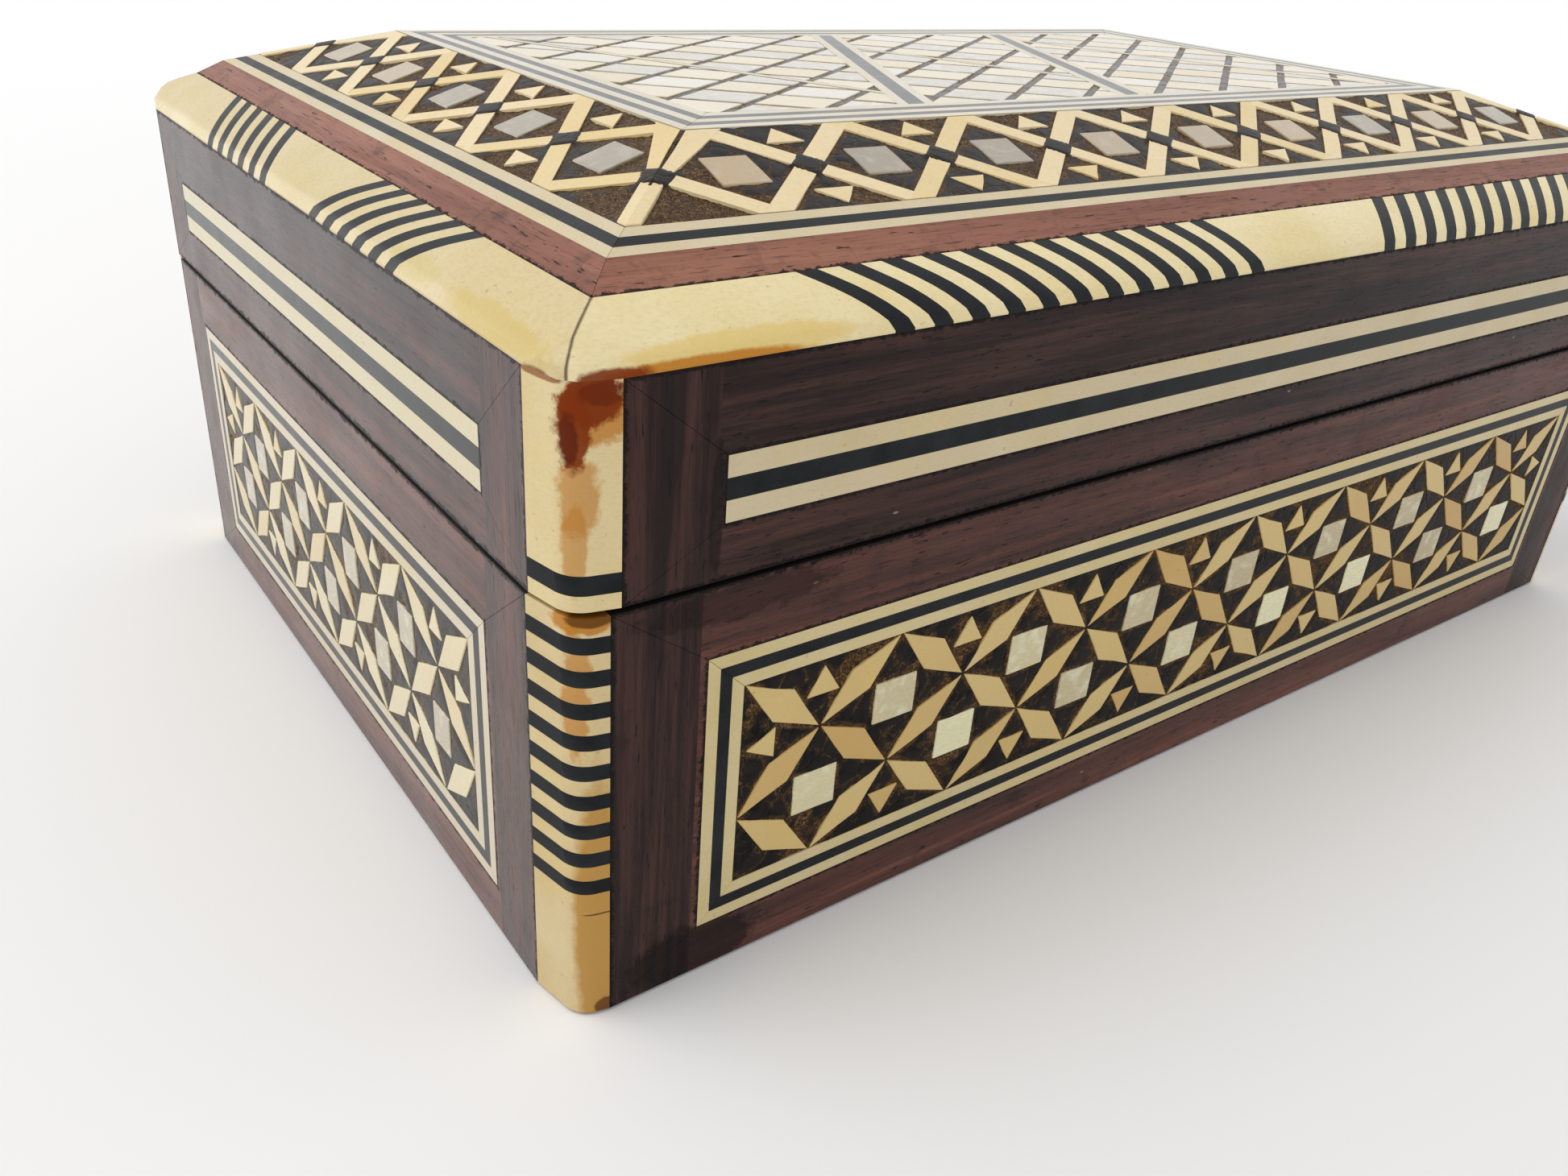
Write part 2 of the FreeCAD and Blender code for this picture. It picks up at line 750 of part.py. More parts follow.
def top_panel():
    """A lozenge field of pearl and bone, divided by two slanting bands and thin lines."""
    half_x, half_y = box_length / 2 - panel_start, box_depth / 2 - panel_start
    panel = corners((-half_x, -half_y, half_x, half_y))
    half_band = slant_bone + slant_black / 2
    slants = [across(x, slant_angle) for x in (-slant_offset, slant_offset)]
    far = box_length
    bone_lines, black_lines = [], []
    for line in slants:
        bone_lines.append(strip_between(panel, line, -half_band, -slant_black / 2))
        black_lines.append(strip_between(panel, line, -slant_black / 2, slant_black / 2))
        bone_lines.append(strip_between(panel, line, slant_black / 2, half_band))
    fields = [
        strip_between(panel, slants[0], -far, -half_band),
        strip_between(strip_between(panel, slants[0], half_band, far), slants[1], -far, -half_band),
        strip_between(panel, slants[1], half_band, far),
    ]
    regions = []
    for middle, field in zip((-half_x + slant_offset, 0, half_x - slant_offset), fields):
        line = across(middle, thin_line_angle)
        bone_lines.append(strip_between(field, line, -thin_line / 2, thin_line / 2))
        clear = (thin_line + field_gap) / 2
        central = field is fields[1]
        regions.append((central, strip_between(field, line, -far, -clear)))
        regions.append((central, strip_between(field, line, clear, far)))
    bone, pearl = [], []
    across_count = int(box_length / field_pitch_x)
    up_count = int(box_depth / field_pitch_y)
    rx = field_pitch_x / 2 - field_gap
    ry = rx * field_pitch_y / field_pitch_x
    for j in range(-up_count, up_count + 1):
        for i in range(-across_count, across_count + 1):
            x = (i + 0.5 * (j % 2)) * field_pitch_x
            y = j * field_pitch_y / 2
            for central, region in regions:
                piece = [(x - rx, y), (x, y - ry), (x + rx, y), (x, y + ry)]
                for k, (px, py) in enumerate(region):
                    qx, qy = region[(k + 1) % len(region)]
                    piece = clip(piece, (px, py), (py - qy, qx - px))
                if len(piece) > 2 and area(piece) > smallest_tessera:
                    (pearl if central != (j % 2 == 0) else bone).append(piece)
    return {
        "lid_panel_ground": [panel_slab(panel, tessera, skin)],
        "lid_panel_bone_lines": [panel_slab(o, 0, tessera) for o in bone_lines],
        "lid_panel_black_lines": [panel_slab(o, 0, tessera) for o in black_lines],
        "lid_panel_bone_mosaic": [panel_slab(o, 0, tessera) for o in bone],
        "lid_panel_pearl_mosaic": [panel_slab(o, 0, tessera) for o in pearl],
    }


# Hinges

def hinge_rod(x0, x1, radius):
    """A round rod on the hinge axis."""
    return Part.makeCylinder(radius, x1 - x0, Vec(x0, hinge_y, hinge_z), Vec(1, 0, 0))


def knuckle(x0, x1):
    outline = ring(knuckle_radius, knuckle_side_count)
    section = face([Vec(x0, hinge_y + u, hinge_z + v) for u, v in outline])
    return section.extrude(Vec(x1 - x0, 0, 0))


def hinge_leaf_shape(x, up):
    """A leaf let into the rim. The base's has the outer knuckles and the pin riveted in them,
    and the lid's has the middle knuckle, bored to turn on the pin."""
    half = hinge_length / 2
    half_lid = hinge_length * lid_knuckle_share / 2
    rim = hinge_z - up * seam_gap / 2
    deep = rim - up * hinge_leaf
    low, high = min(rim, deep), max(rim, deep)
    plate = block(Vec(x - half, hinge_y - hinge_leaf_width, low), Vec(x + half, hinge_y, high))
    inner_end, outer_end = half_lid - knuckle_gap / 2, half_lid + knuckle_gap / 2
    outer = [(x - half, x - outer_end), (x + outer_end, x + half)]
    inner = [(x - inner_end, x + inner_end)]
    own, other = (outer, inner) if up > 0 else (inner, outer)
    notch_y = hinge_y - knuckle_radius - hinge_clearance
    for a, b in other:
        notch = block(Vec(a - knuckle_gap, notch_y, low), Vec(b + knuckle_gap, hinge_y, high))
        plate = plate.cut(notch)
    for a, b in own:
        plate = plate.fuse(knuckle(a, b))
    if up > 0:
        plate = plate.fuse(hinge_rod(x - outer_end, x + outer_end, hinge_pin_radius))
    else:
        plate = plate.cut(hinge_rod(x - half, x + half, hinge_pin_radius + hinge_pin_clearance))
    for nx, ny in nail_places(x):
        plate = plate.cut(nail(nx, ny, up, nail_clearance))
    return plate.removeSplitter()


def hinges():
    nodes = {"hinge_base_nails": [], "hinge_lid_nails": []}
    for name, x in hinge_places().items():
        nodes["%s_hinge_base_leaf" % name] = hinge_leaf_shape(x, 1)
        nodes["%s_hinge_lid_leaf" % name] = hinge_leaf_shape(x, -1)
        nodes["hinge_base_nails"] += [nail(nx, ny, 1) for nx, ny in nail_places(x)]
        nodes["hinge_lid_nails"] += [nail(nx, ny, -1) for nx, ny in nail_places(x)]
    return nodes


def bevel_posts(nodes, name, up):
    wedge = rim_bevel(up)
    nodes[name] = [post.cut(wedge) if post.BoundBox.YMax > hinge_y else post for post in nodes[name]]


def build():
    nodes = {}
    base_groups = (base_carcass, base_sides, base_posts)
    lid_groups = (lid_carcass, lid_sides, lid_bevel, top_panel)
    for group in base_groups + lid_groups + (linings, hinges):
        nodes.update(group())
    for name in ("base_corner_bone", "base_corner_black"):
        bevel_posts(nodes, name, 1)
    for name in ("lid_corner_bone", "lid_corner_black"):
        bevel_posts(nodes, name, -1)
    os.makedirs("parts", exist_ok=True)
    for name, shape in nodes.items():
        if isinstance(shape, list):
            shape = Part.makeCompound([s for s in shape if s.Volume > 0])
        shape.exportStep("parts/%s.step" % name)
    return nodes


if __name__ == "__main__":
    build()
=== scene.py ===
import math

import bpy
from mathutils import Matrix, Vector, kdtree, noise


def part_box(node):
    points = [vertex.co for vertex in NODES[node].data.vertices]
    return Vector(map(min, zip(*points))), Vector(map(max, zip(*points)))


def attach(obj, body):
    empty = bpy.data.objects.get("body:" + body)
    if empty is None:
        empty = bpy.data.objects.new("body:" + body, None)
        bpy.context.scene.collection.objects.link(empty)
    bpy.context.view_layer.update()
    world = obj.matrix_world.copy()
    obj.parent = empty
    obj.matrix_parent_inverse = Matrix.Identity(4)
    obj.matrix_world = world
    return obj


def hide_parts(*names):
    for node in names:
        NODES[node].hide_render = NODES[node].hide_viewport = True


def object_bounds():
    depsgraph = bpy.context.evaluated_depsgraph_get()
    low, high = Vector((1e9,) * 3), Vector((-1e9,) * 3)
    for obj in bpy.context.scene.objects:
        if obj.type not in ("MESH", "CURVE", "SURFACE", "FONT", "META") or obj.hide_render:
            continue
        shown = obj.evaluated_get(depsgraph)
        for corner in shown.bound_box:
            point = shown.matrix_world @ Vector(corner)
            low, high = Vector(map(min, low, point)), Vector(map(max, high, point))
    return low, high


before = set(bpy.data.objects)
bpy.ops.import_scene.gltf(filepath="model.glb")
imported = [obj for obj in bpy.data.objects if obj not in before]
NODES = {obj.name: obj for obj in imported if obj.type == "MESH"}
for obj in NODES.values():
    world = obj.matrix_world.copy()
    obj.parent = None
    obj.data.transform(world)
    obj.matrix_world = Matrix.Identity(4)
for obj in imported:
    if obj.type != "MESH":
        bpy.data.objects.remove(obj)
cad_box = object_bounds()
MM = 0.001

# Sizes of the box that the pieces below follow, in millimetres
HALF_LENGTH = 75.0
HALF_DEPTH = 49.25
HALF = {"long": HALF_LENGTH, "short": HALF_DEPTH}
KIND = {"front": "long", "right": "short", "back": "long", "left": "short"}
BASE_TOP = 35.6
LID_LOW = 36.0
EDGE_LOW = 51.6
LID_TOP = cad_box[1].z / MM
SIDE_SKIN = 5.0

# Wooden frames of the sides: half length, foot and top of the opening, where the posts begin, and
# how the posts are rounded
BASE_PANEL = {"long": (63.7, 4.85, 29.8), "short": (36.85, 4.85, 29.8)}
LID_PANEL = {"long": (62.9, 40.3, 45.19), "short": (37.55, 40.3, 45.19)}
BASE_POST = {"long": 71.5, "short": 43.95}
LID_POST = {"long": 70.7, "short": 44.45}
POST_ARRIS, POST_EASE, ARRIS_NEAR = 0.65, 0.05, 3

# Fields of filler: the stringing round the base's, their foot and top, and the inset of the lid's
STRINGING_WIDTH = 3.18
FIELD_LOW, FIELD_HIGH = 8.03, 26.62
PANEL_IN = 26.75

# Mosaic band of the lid's bevel: its insets from the outside, its tilt, its cells along each side,
# its bars, those on the mitres, and the dark squares where they cross
BAND_IN, BAND_OUT = 9.91, 21.0
BAND_MIDDLE, BAND_HALF = (BAND_IN + BAND_OUT) / 2, (BAND_OUT - BAND_IN) / 2
BAND_TILT = math.atan2(4.6, 14.0)
BAND_CELLS = {"long": 9, "short": 5}
BAR_HALF, BAR_GAP, BAR_PROUD, BAR_DEPTH = 0.825, 0.15, 0.06, 0.6
MITRE_START, MITRE_SLACK = 0.8, 0.1
SQUARE_HALF, SQUARE_PROUD = 1.2, 0.08

# Tesserae: how uneven their outlines are, how far their edges are softened, and the seed that makes
# the outlines the same on each run
TESSERA_WOBBLE, TESSERA_EASE, TESSERA_SEED = 0.09, 0.09, 1
noise.seed_set(TESSERA_SEED)

# Filler: fineness of its sheets, how well it holds, its depth, and how wide it crumbles at a rim
BASE_GRID, BAND_GRID, TOP_GRID = 0.28, 0.30, 0.45
BASE_HOLD, BAND_HOLD, TOP_HOLD = 0.36, -0.25, 0.12
FILLER_DEPTH, CRUMBLE_WIDTH, RIM_SPACING = 0.8, 0.75, 0.25

# Edging of the lid: top of its lip, slope and width, the cuts that round it, how far it swells, and
# how its lip and its corners are filed down
EDGE_LIP = 51.994
EDGE_SLOPE = 4.7 / 7.0
EDGE_RUN = 4.65
EDGE_CUTS = (0.35, 0.8, 1.4, 2.1, 2.9, 3.8)
EDGE_SWELL = 0.42
EDGE_LIP_DROP = 0.24
EDGE_CORNER, CORNER_REACH, CORNER_DROP = 1.53, 0.9, 0.55

# Velvet linings: thickness of the card, roundness of the edges, and how far in the face is crowned
LINING_THICK, VELVET_ROUND, VELVET_CROWN = 0.8, 0.3, 4.0

# How red the rosewood is: low and high rail of each level, the stiles, and more on the short sides
RAIL_RED = {"base": (0.92, 0.74), "lid": (0.42, 0.26)}
STILE_RED = 0.34
SHORT_SIDE_RED = 0.25


# Shader nodes

class Shades:
    """A node tree with short ways to add and join nodes."""

    def __init__(self, tree):
        self.tree = tree

    def add(self, kind, feeds=None, **settings):
        node = self.tree.nodes.new("ShaderNode" + kind)
        for name, value in settings.items():
            setattr(node, name, value)
        for key, value in (feeds or {}).items():
            self.feed(node.inputs[key], value)
        return node

    def feed(self, socket, value):
        if isinstance(value, bpy.types.NodeSocket):
            self.tree.links.new(value, socket)
        else:
            socket.default_value = value

    def calc(self, operation, a, b=0.0, c=0.0, clamp=False):
        feeds = {0: a, 1: b, 2: c}
        return self.add("Math", feeds, operation=operation, use_clamp=clamp).outputs[0]

    def vector(self, operation, feeds):
        return self.add("VectorMath", feeds, operation=operation).outputs

    def stretch(self, place, scale, shift=(0, 0, 0)):
        return self.add("Mapping", {"Vector": place, "Scale": scale, "Location": shift}).outputs[0]

    def noise(self, place, scale, detail=3.0, rough=0.55, twist=0.0):
        feeds = {"Vector": place, "Scale": scale, "Detail": detail, "Roughness": rough}
        return self.add("TexNoise", {**feeds, "Distortion": twist}).outputs[0]

    def cells(self, place, scale, feature="F1"):
        return self.add("TexVoronoi", {"Vector": place, "Scale": scale}, feature=feature)

    def span(self, value, low, high, to_low=0.0, to_high=1.0):
        feeds = {0: value, 1: low, 2: high, 3: to_low, 4: to_high}
        return self.add("MapRange", feeds).outputs[0]

    def ramp(self, value, stops):
        node = self.add("ValToRGB", {0: value})
        points = node.color_ramp.elements
        stops = sorted(stops)
        for place, _ in stops[1:-1]:
            points.new(place)
        for point, (place, colour) in zip(points, stops):
            point.position = place
            point.color = (*colour, 1)
        return node.outputs[0]

    def mix(self, share, a, b, blend="MIX"):
        node = self.add("Mix", data_type="RGBA", blend_type=blend)
        for index, value in ((0, share), (6, a), (7, b)):
            if isinstance(value, tuple):
                value = (*value, 1)
            self.feed(node.inputs[index], value)
        return node.outputs[2]

    def split(self, vector):
        return self.add("SeparateXYZ", {0: vector}).outputs

    def join(self, x, y, z):
        return self.add("CombineXYZ", {0: x, 1: y, 2: z}).outputs[0]

    def bump(self, height, distance, strength=1.0):
        feeds = {"Strength": strength, "Distance": distance, "Height": height}
        return self.add("Bump", feeds).outputs[0]


def group(name, takes, gives):
    """A shared shader group: its tree, the shades to fill it, its inputs and its outputs."""
    tree = bpy.data.node_groups.new(name, "ShaderNodeTree")
    kinds = {"value": "NodeSocketFloat", "vector": "NodeSocketVector", "colour": "NodeSocketColor"}
    for label, kind in takes:
        tree.interface.new_socket(label, in_out="INPUT", socket_type=kinds[kind])
    for label, kind in gives:
        tree.interface.new_socket(label, in_out="OUTPUT", socket_type=kinds[kind])
    source = tree.nodes.new("NodeGroupInput").outputs
    result = tree.nodes.new("NodeGroupOutput").inputs
    return tree, Shades(tree), source, result


def use(shades, tree, feeds):
    """Place a shared group in a material: its outputs."""
    node = shades.tree.nodes.new("ShaderNodeGroup")
    node.node_tree = tree
    for key, value in feeds.items():
        shades.feed(node.inputs[key], value)
    return node.outputs


def make_figure():
    """Rosewood: dark bands, red streaks, open pores and old nicks along the first axis of Place."""
    tree, s, take, give = group(
        "rosewood_figure",
        [("Place", "vector"), ("Red", "value")],
        [("Colour", "colour"), ("Height", "value"), ("Gloss", "value")])
    place = take["Place"]
    bands = s.noise(s.stretch(place, (0.020, 0.40, 0.40)), 1.0, 5, 0.6, 0.7)
    streaks = s.noise(s.stretch(place, (0.07, 2.2, 2.2), (3, 7, 1)), 1.0, 5, 0.65)
    fine = s.noise(s.stretch(place, (0.30, 8.0, 8.0)), 1.0, 3, 0.65)
    depth = s.calc("MULTIPLY_ADD", bands, 0.54, s.calc("MULTIPLY_ADD", streaks, 0.26, 0.10))
    depth = s.calc("ADD", depth, s.calc("MULTIPLY", s.calc("SUBTRACT", take["Red"], 0.5), 0.26))
    colour = s.ramp(depth, [
        (0.30, (0.004, 0.003, 0.0035)),
        (0.42, (0.019, 0.0080, 0.0065)),
        (0.50, (0.047, 0.0200, 0.0160)),
        (0.62, (0.100, 0.0365, 0.0270)),
        (0.78, (0.205, 0.0800, 0.0530)),
        (1.00, (0.340, 0.150, 0.100)),
    ])
    pores = s.span(fine, 0.60, 0.70)
    colour = s.mix(s.calc("MULTIPLY", pores, 0.70), colour, (0.005, 0.003, 0.003))
    slits = s.noise(s.stretch(place, (0.50, 3.4, 3.4), (5, 1, 9)), 1.0, 2, 0.5)
    pits = s.span(slits, 0.68, 0.74)
    colour = s.mix(pits, colour, (0.004, 0.003, 0.003))
    scuffs = s.noise(s.stretch(place, (0.14, 3.1, 3.1), (11, 2, 5)), 1.0, 5, 0.75)
    pale = s.calc("MULTIPLY", s.span(scuffs, 0.64, 0.78), 0.30)
    colour = s.mix(pale, colour, (0.14, 0.075, 0.060))
    nicks = s.cells(s.stretch(place, (0.17, 0.42, 0.42)), 1.0)
    picked = s.calc("GREATER_THAN", s.split(nicks.outputs["Color"])[0], 0.62)
    nick = s.calc("MULTIPLY", s.span(nicks.outputs["Distance"], 0.055, 0.030), picked)
    colour = s.mix(s.calc("MULTIPLY", nick, 0.55), colour, (0.42, 0.32, 0.27))
    s.feed(give["Colour"], colour)
    dents = s.calc("ADD", pores, s.calc("MULTIPLY_ADD", pits, 1.6, nick))
    s.feed(give["Height"], s.calc("SUBTRACT", s.calc("MULTIPLY", streaks, 0.5), dents))
    wear = s.noise(place, 0.11, 4, 0.6)
    s.feed(give["Gloss"], s.calc("MULTIPLY_ADD", wear, 0.34, s.calc("MULTIPLY", fine, 0.20)))
    return tree


def make_turn():
    """Marks the stiles of a frame, and how far each point is from the frame's edges."""
    takes = ["Along", "Up", "Inner", "Outer", "Low", "Low Edge", "High", "High Edge"]
    tree, s, take, give = group(
        "frame_joints", [(t, "value") for t in takes], [("Stile", "value"), ("Border", "value")])
    along = s.calc("ABSOLUTE", take["Along"])
    s.feed(give["Stile"], s.calc("GREATER_THAN", along, s.calc("ADD", take["Inner"], 0.7)))
    inside = s.calc("MAXIMUM", s.calc("SUBTRACT", take["Low"], take["Up"]),
                    s.calc("SUBTRACT", take["Up"], take["High"]))
    inside = s.calc("MAXIMUM", inside, s.calc("SUBTRACT", along, take["Inner"]))
    outside = s.calc("MINIMUM", s.calc("SUBTRACT", take["Up"], take["Low Edge"]),
                     s.calc("SUBTRACT", take["High Edge"], take["Up"]))
    outside = s.calc("MINIMUM", outside, s.calc("SUBTRACT", take["Outer"], along))
    s.feed(give["Border"], s.calc("MINIMUM", inside, outside))
    return tree


def make_stain():
    """A ragged spot round a centre, with a reach along each axis."""
    tree, s, take, give = group(
        "stain_spot",
        [("Place", "vector"), ("Centre", "vector"), ("Reach", "vector"), ("Ragged", "value")],
        [("Mask", "value")])
    away = s.vector("SUBTRACT", {0: take["Place"], 1: take["Centre"]})[0]
    away = s.vector("DIVIDE", {0: away, 1: take["Reach"]})[0]
    far = s.vector("LENGTH", {0: away})["Value"]
    edge = s.noise(take["Place"], 0.70, 6, 0.65)
    far = s.calc("MULTIPLY_ADD", s.calc("SUBTRACT", edge, 0.5), take["Ragged"], far)
    s.feed(give["Mask"], s.span(far, 1.02, 0.76))
    return tree


def make_ageing():
    """Old bone: soft clouds, yellowed patches, faint grain and dark specks."""
    tree, s, take, give = group(
        "bone_ageing", [("Place", "vector")],
        [("Clouds", "value"), ("Yellow", "value"), ("Grain", "value"), ("Specks", "value")])
    place = take["Place"]
    s.feed(give["Clouds"], s.noise(place, 0.14, 4, 0.55))
    patches = s.noise(s.stretch(place, (1, 1, 1), (31, 17, 5)), 0.075, 4, 0.6)
    s.feed(give["Yellow"], s.span(patches, 0.52, 0.70))
    s.feed(give["Grain"], s.noise(s.stretch(place, (0.9, 0.9, 2.6)), 2.4, 3, 0.6))
    s.feed(give["Specks"], s.span(s.noise(place, 1.7, 2, 0.5), 0.70, 0.78))
    return tree


FIGURE = make_figure()
TURN = make_turn()
STAIN = make_stain()
AGEING = make_ageing()


def material(name):
    """A new material, its shades, its Principled shader and its place in millimetres."""
    made = bpy.data.materials.new(name)
    made.use_nodes = True
    shades = Shades(made.node_tree)
    shader = made.node_tree.nodes["Principled BSDF"]
    where = shades.add("TexCoord").outputs["Object"]
    place = shades.vector("SCALE", {0: where, "Scale": 1 / MM})[0]
    return made, shades, shader, place


def on_short_sides(s, place):
    """1 on the two short sides of the box, where the old polish has stayed and sheen is painted."""
    return s.calc("GREATER_THAN", s.calc("ABSOLUTE", s.split(place)[0]), HALF_LENGTH - SIDE_SKIN)


def rosewood(name, kind, dark_patches=()):
    """Varnished rosewood with the grain turned along rails and stiles, grimy at its joints."""
    made, s, shader, place = material(name)
    x, y, z = s.split(place)
    level, side = kind
    if level == "bevel":
        past = s.calc("SUBTRACT", s.calc("ABSOLUTE", x), HALF_LENGTH - HALF_DEPTH)
        turned = s.calc("GREATER_THAN", past, s.calc("ABSOLUTE", y))
        along, other = s.join(x, y, z), s.join(y, x, z)
        red = 1.90
        border = s.calc("MULTIPLY", s.calc("SUBTRACT", z, EDGE_LIP + EDGE_SLOPE * EDGE_RUN), 2.4)
    else:
        panel, post = (BASE_PANEL, BASE_POST) if level == "base" else (LID_PANEL, LID_POST)
        run, back = (x, y) if side == "long" else (y, x)
        inner, low, high = panel[side]
        ends = (0.0, BASE_TOP) if level == "base" else (LID_LOW, EDGE_LOW)
        joints = use(s, TURN, {
            "Along": run, "Up": z, "Inner": inner, "Outer": post[side],
            "Low": low, "Low Edge": ends[0], "High": high, "High Edge": ends[1]})
        turned, border = joints["Stile"], joints["Border"]
        along, other = s.join(run, back, z), s.join(z, back, run)
        warmer = SHORT_SIDE_RED if side == "short" else 0.0
        rail_red = s.span(z, low - 0.8, high, *(tone + warmer for tone in RAIL_RED[level]))
        reds = {0: turned, 2: rail_red, 3: STILE_RED + warmer}
        red = s.add("Mix", reds, data_type="FLOAT").outputs[0]
    pick = s.add("Mix", {0: turned, 4: along, 5: other}, data_type="VECTOR").outputs[1]
    figure = use(s, FIGURE, {"Place": pick, "Red": red})
    clouds = s.noise(place, 0.30, 5, 0.65)
    ragged = s.noise(place, 1.3, 5, 0.7)
    grime = s.span(s.calc("MULTIPLY_ADD", ragged, -1.4, s.calc("ADD", border, 0.58)), 0.20, 0.02)
    # Listed dark patches, darkest at their centres.
    for centre, reach, rough, weight in dark_patches:
        dark_patch = use(s, STAIN, {"Place": place, "Centre": centre, "Reach": reach, "Ragged": rough})[0]
        grime = s.calc("MAXIMUM", grime, s.calc("MULTIPLY", dark_patch, weight))
    dark = s.calc("MAXIMUM", s.span(clouds, 0.56, 0.74, 0.0, 0.60), grime)
    colour = s.mix(s.calc("MULTIPLY", dark, 0.92), figure["Colour"], (0.006, 0.004, 0.004))
    s.feed(shader.inputs["Base Color"], colour)
    gloss = s.calc("MULTIPLY_ADD", grime, 0.35, figure["Gloss"])
    s.feed(shader.inputs["Roughness"], s.calc("ADD", gloss, 0.02 if side == "short" else 0.14))
    crust = s.calc("MULTIPLY", s.calc("MULTIPLY", grime, ragged), 2.4)
    s.feed(shader.inputs["Normal"], s.bump(s.calc("ADD", figure["Height"], crust), 0.00006, 0.8))
    shader.inputs["Specular IOR Level"].default_value = 0.60 if side == "short" else 0.16
    return made


def bone(name, pale, warm, stains=(), tones=False, gloss=0.34, polish=0.08, ends=None,
         mitred=False):
    """Aged bone between a pale and a warm colour, with rust stains where they are named.

    A colour for the ends makes it glossier on the short sides of the box and paints it paler there
    as a sheen. Mitred bone has a dark joint at the corners.
    """
    made, s, shader, place = material(name)
    age = use(s, AGEING, {"Place": place})
    share = s.calc("MULTIPLY_ADD", age["Clouds"], 1.5, -0.25, clamp=True)
    if tones:
        tone = s.add("Attribute", attribute_name="tone").outputs["Fac"]
        share = s.calc("MULTIPLY_ADD", tone, 0.65, s.calc("MULTIPLY", share, 0.35))
    colour = s.mix(share, pale, warm)
    # On the short sides the colour is painted paler, as a sheen.
    if ends:
        short = on_short_sides(s, place)
        colour = s.mix(s.calc("MULTIPLY", short, 0.7), colour, ends)
    colour = s.mix(s.calc("MULTIPLY", age["Yellow"], 0.30), colour, (0.70, 0.50, 0.13))
    colour = s.mix(s.span(age["Grain"], 0.45, 0.70, 0.0, 0.20), colour, (0.50, 0.36, 0.17))
    colour = s.mix(s.calc("MULTIPLY", age["Specks"], 0.35), colour, (0.20, 0.12, 0.05))
    shader.inputs["Specular IOR Level"].default_value = 0.08 if stains else 0.30
    shader.inputs["Coat Weight"].default_value = polish
    dulled = 0.0
    for centre, reach, ragged, tint, weight in stains:
        feeds = {"Place": place, "Centre": centre, "Reach": reach, "Ragged": ragged}
        spot = s.calc("MULTIPLY", use(s, STAIN, feeds)[0], weight)
        colour = s.mix(spot, colour, tint)
        dulled = s.calc("MAXIMUM", spot, dulled)
    if stains:
        s.feed(shader.inputs["Coat Weight"], s.span(dulled, 0.0, 0.8, 0.30, 0.0))
    if ends:
        s.feed(shader.inputs["Coat Weight"], s.calc("MULTIPLY_ADD", short, 0.55, polish))
    if mitred:
        x, y, z = s.split(place)
        off = s.calc("SUBTRACT", s.calc("ABSOLUTE", x), s.calc("ABSOLUTE", y))
        off = s.calc("SUBTRACT", off, HALF_LENGTH - HALF_DEPTH)
        colour = s.mix(s.calc("GREATER_THAN", off, 0.0), colour, (0.82, 0.79, 0.74), "MULTIPLY")
        off = s.calc("ABSOLUTE", off)
        joint = s.span(s.calc("MULTIPLY_ADD", age["Grain"], -0.12, off), 0.16, 0.03, 0.0, 0.75)
        colour = s.mix(joint, colour, (0.09, 0.05, 0.03))
    s.feed(shader.inputs["Base Color"], colour)
    s.feed(shader.inputs["Roughness"], s.calc("MULTIPLY_ADD", age["Clouds"], 0.22, gloss - 0.11))
    s.feed(shader.inputs["Normal"], s.bump(age["Grain"], 0.00003, 0.5))
    shader.inputs["Coat Roughness"].default_value = 0.20
    return made


def black_line(name, polish=0.0, ends=0.0):
    """Blue-black inlay with fine scratches and dulled patches, glossier at the ends of the box."""
    made, s, shader, place = material(name)
    clouds = s.noise(place, 0.35, 4, 0.6)
    scratches = s.noise(s.stretch(place, (0.25, 0.25, 3.5)), 1.6, 4, 0.7)
    colour = s.mix(s.span(clouds, 0.35, 0.70), (0.004, 0.005, 0.006), (0.013, 0.015, 0.018))
    colour = s.mix(s.span(scratches, 0.66, 0.80, 0.0, 0.30), colour, (0.11, 0.10, 0.09))
    s.feed(shader.inputs["Base Color"], colour)
    s.feed(shader.inputs["Roughness"], s.calc("MULTIPLY_ADD", clouds, 0.30, 0.22))
    s.feed(shader.inputs["Normal"], s.bump(scratches, 0.00003, 0.5))
    shader.inputs["Specular IOR Level"].default_value = 0.14
    shader.inputs["Coat Weight"].default_value = polish
    if ends:
        s.feed(shader.inputs["Coat Weight"], s.calc("MULTIPLY", on_short_sides(s, place), ends))
    shader.inputs["Coat Roughness"].default_value = 0.12
    return made


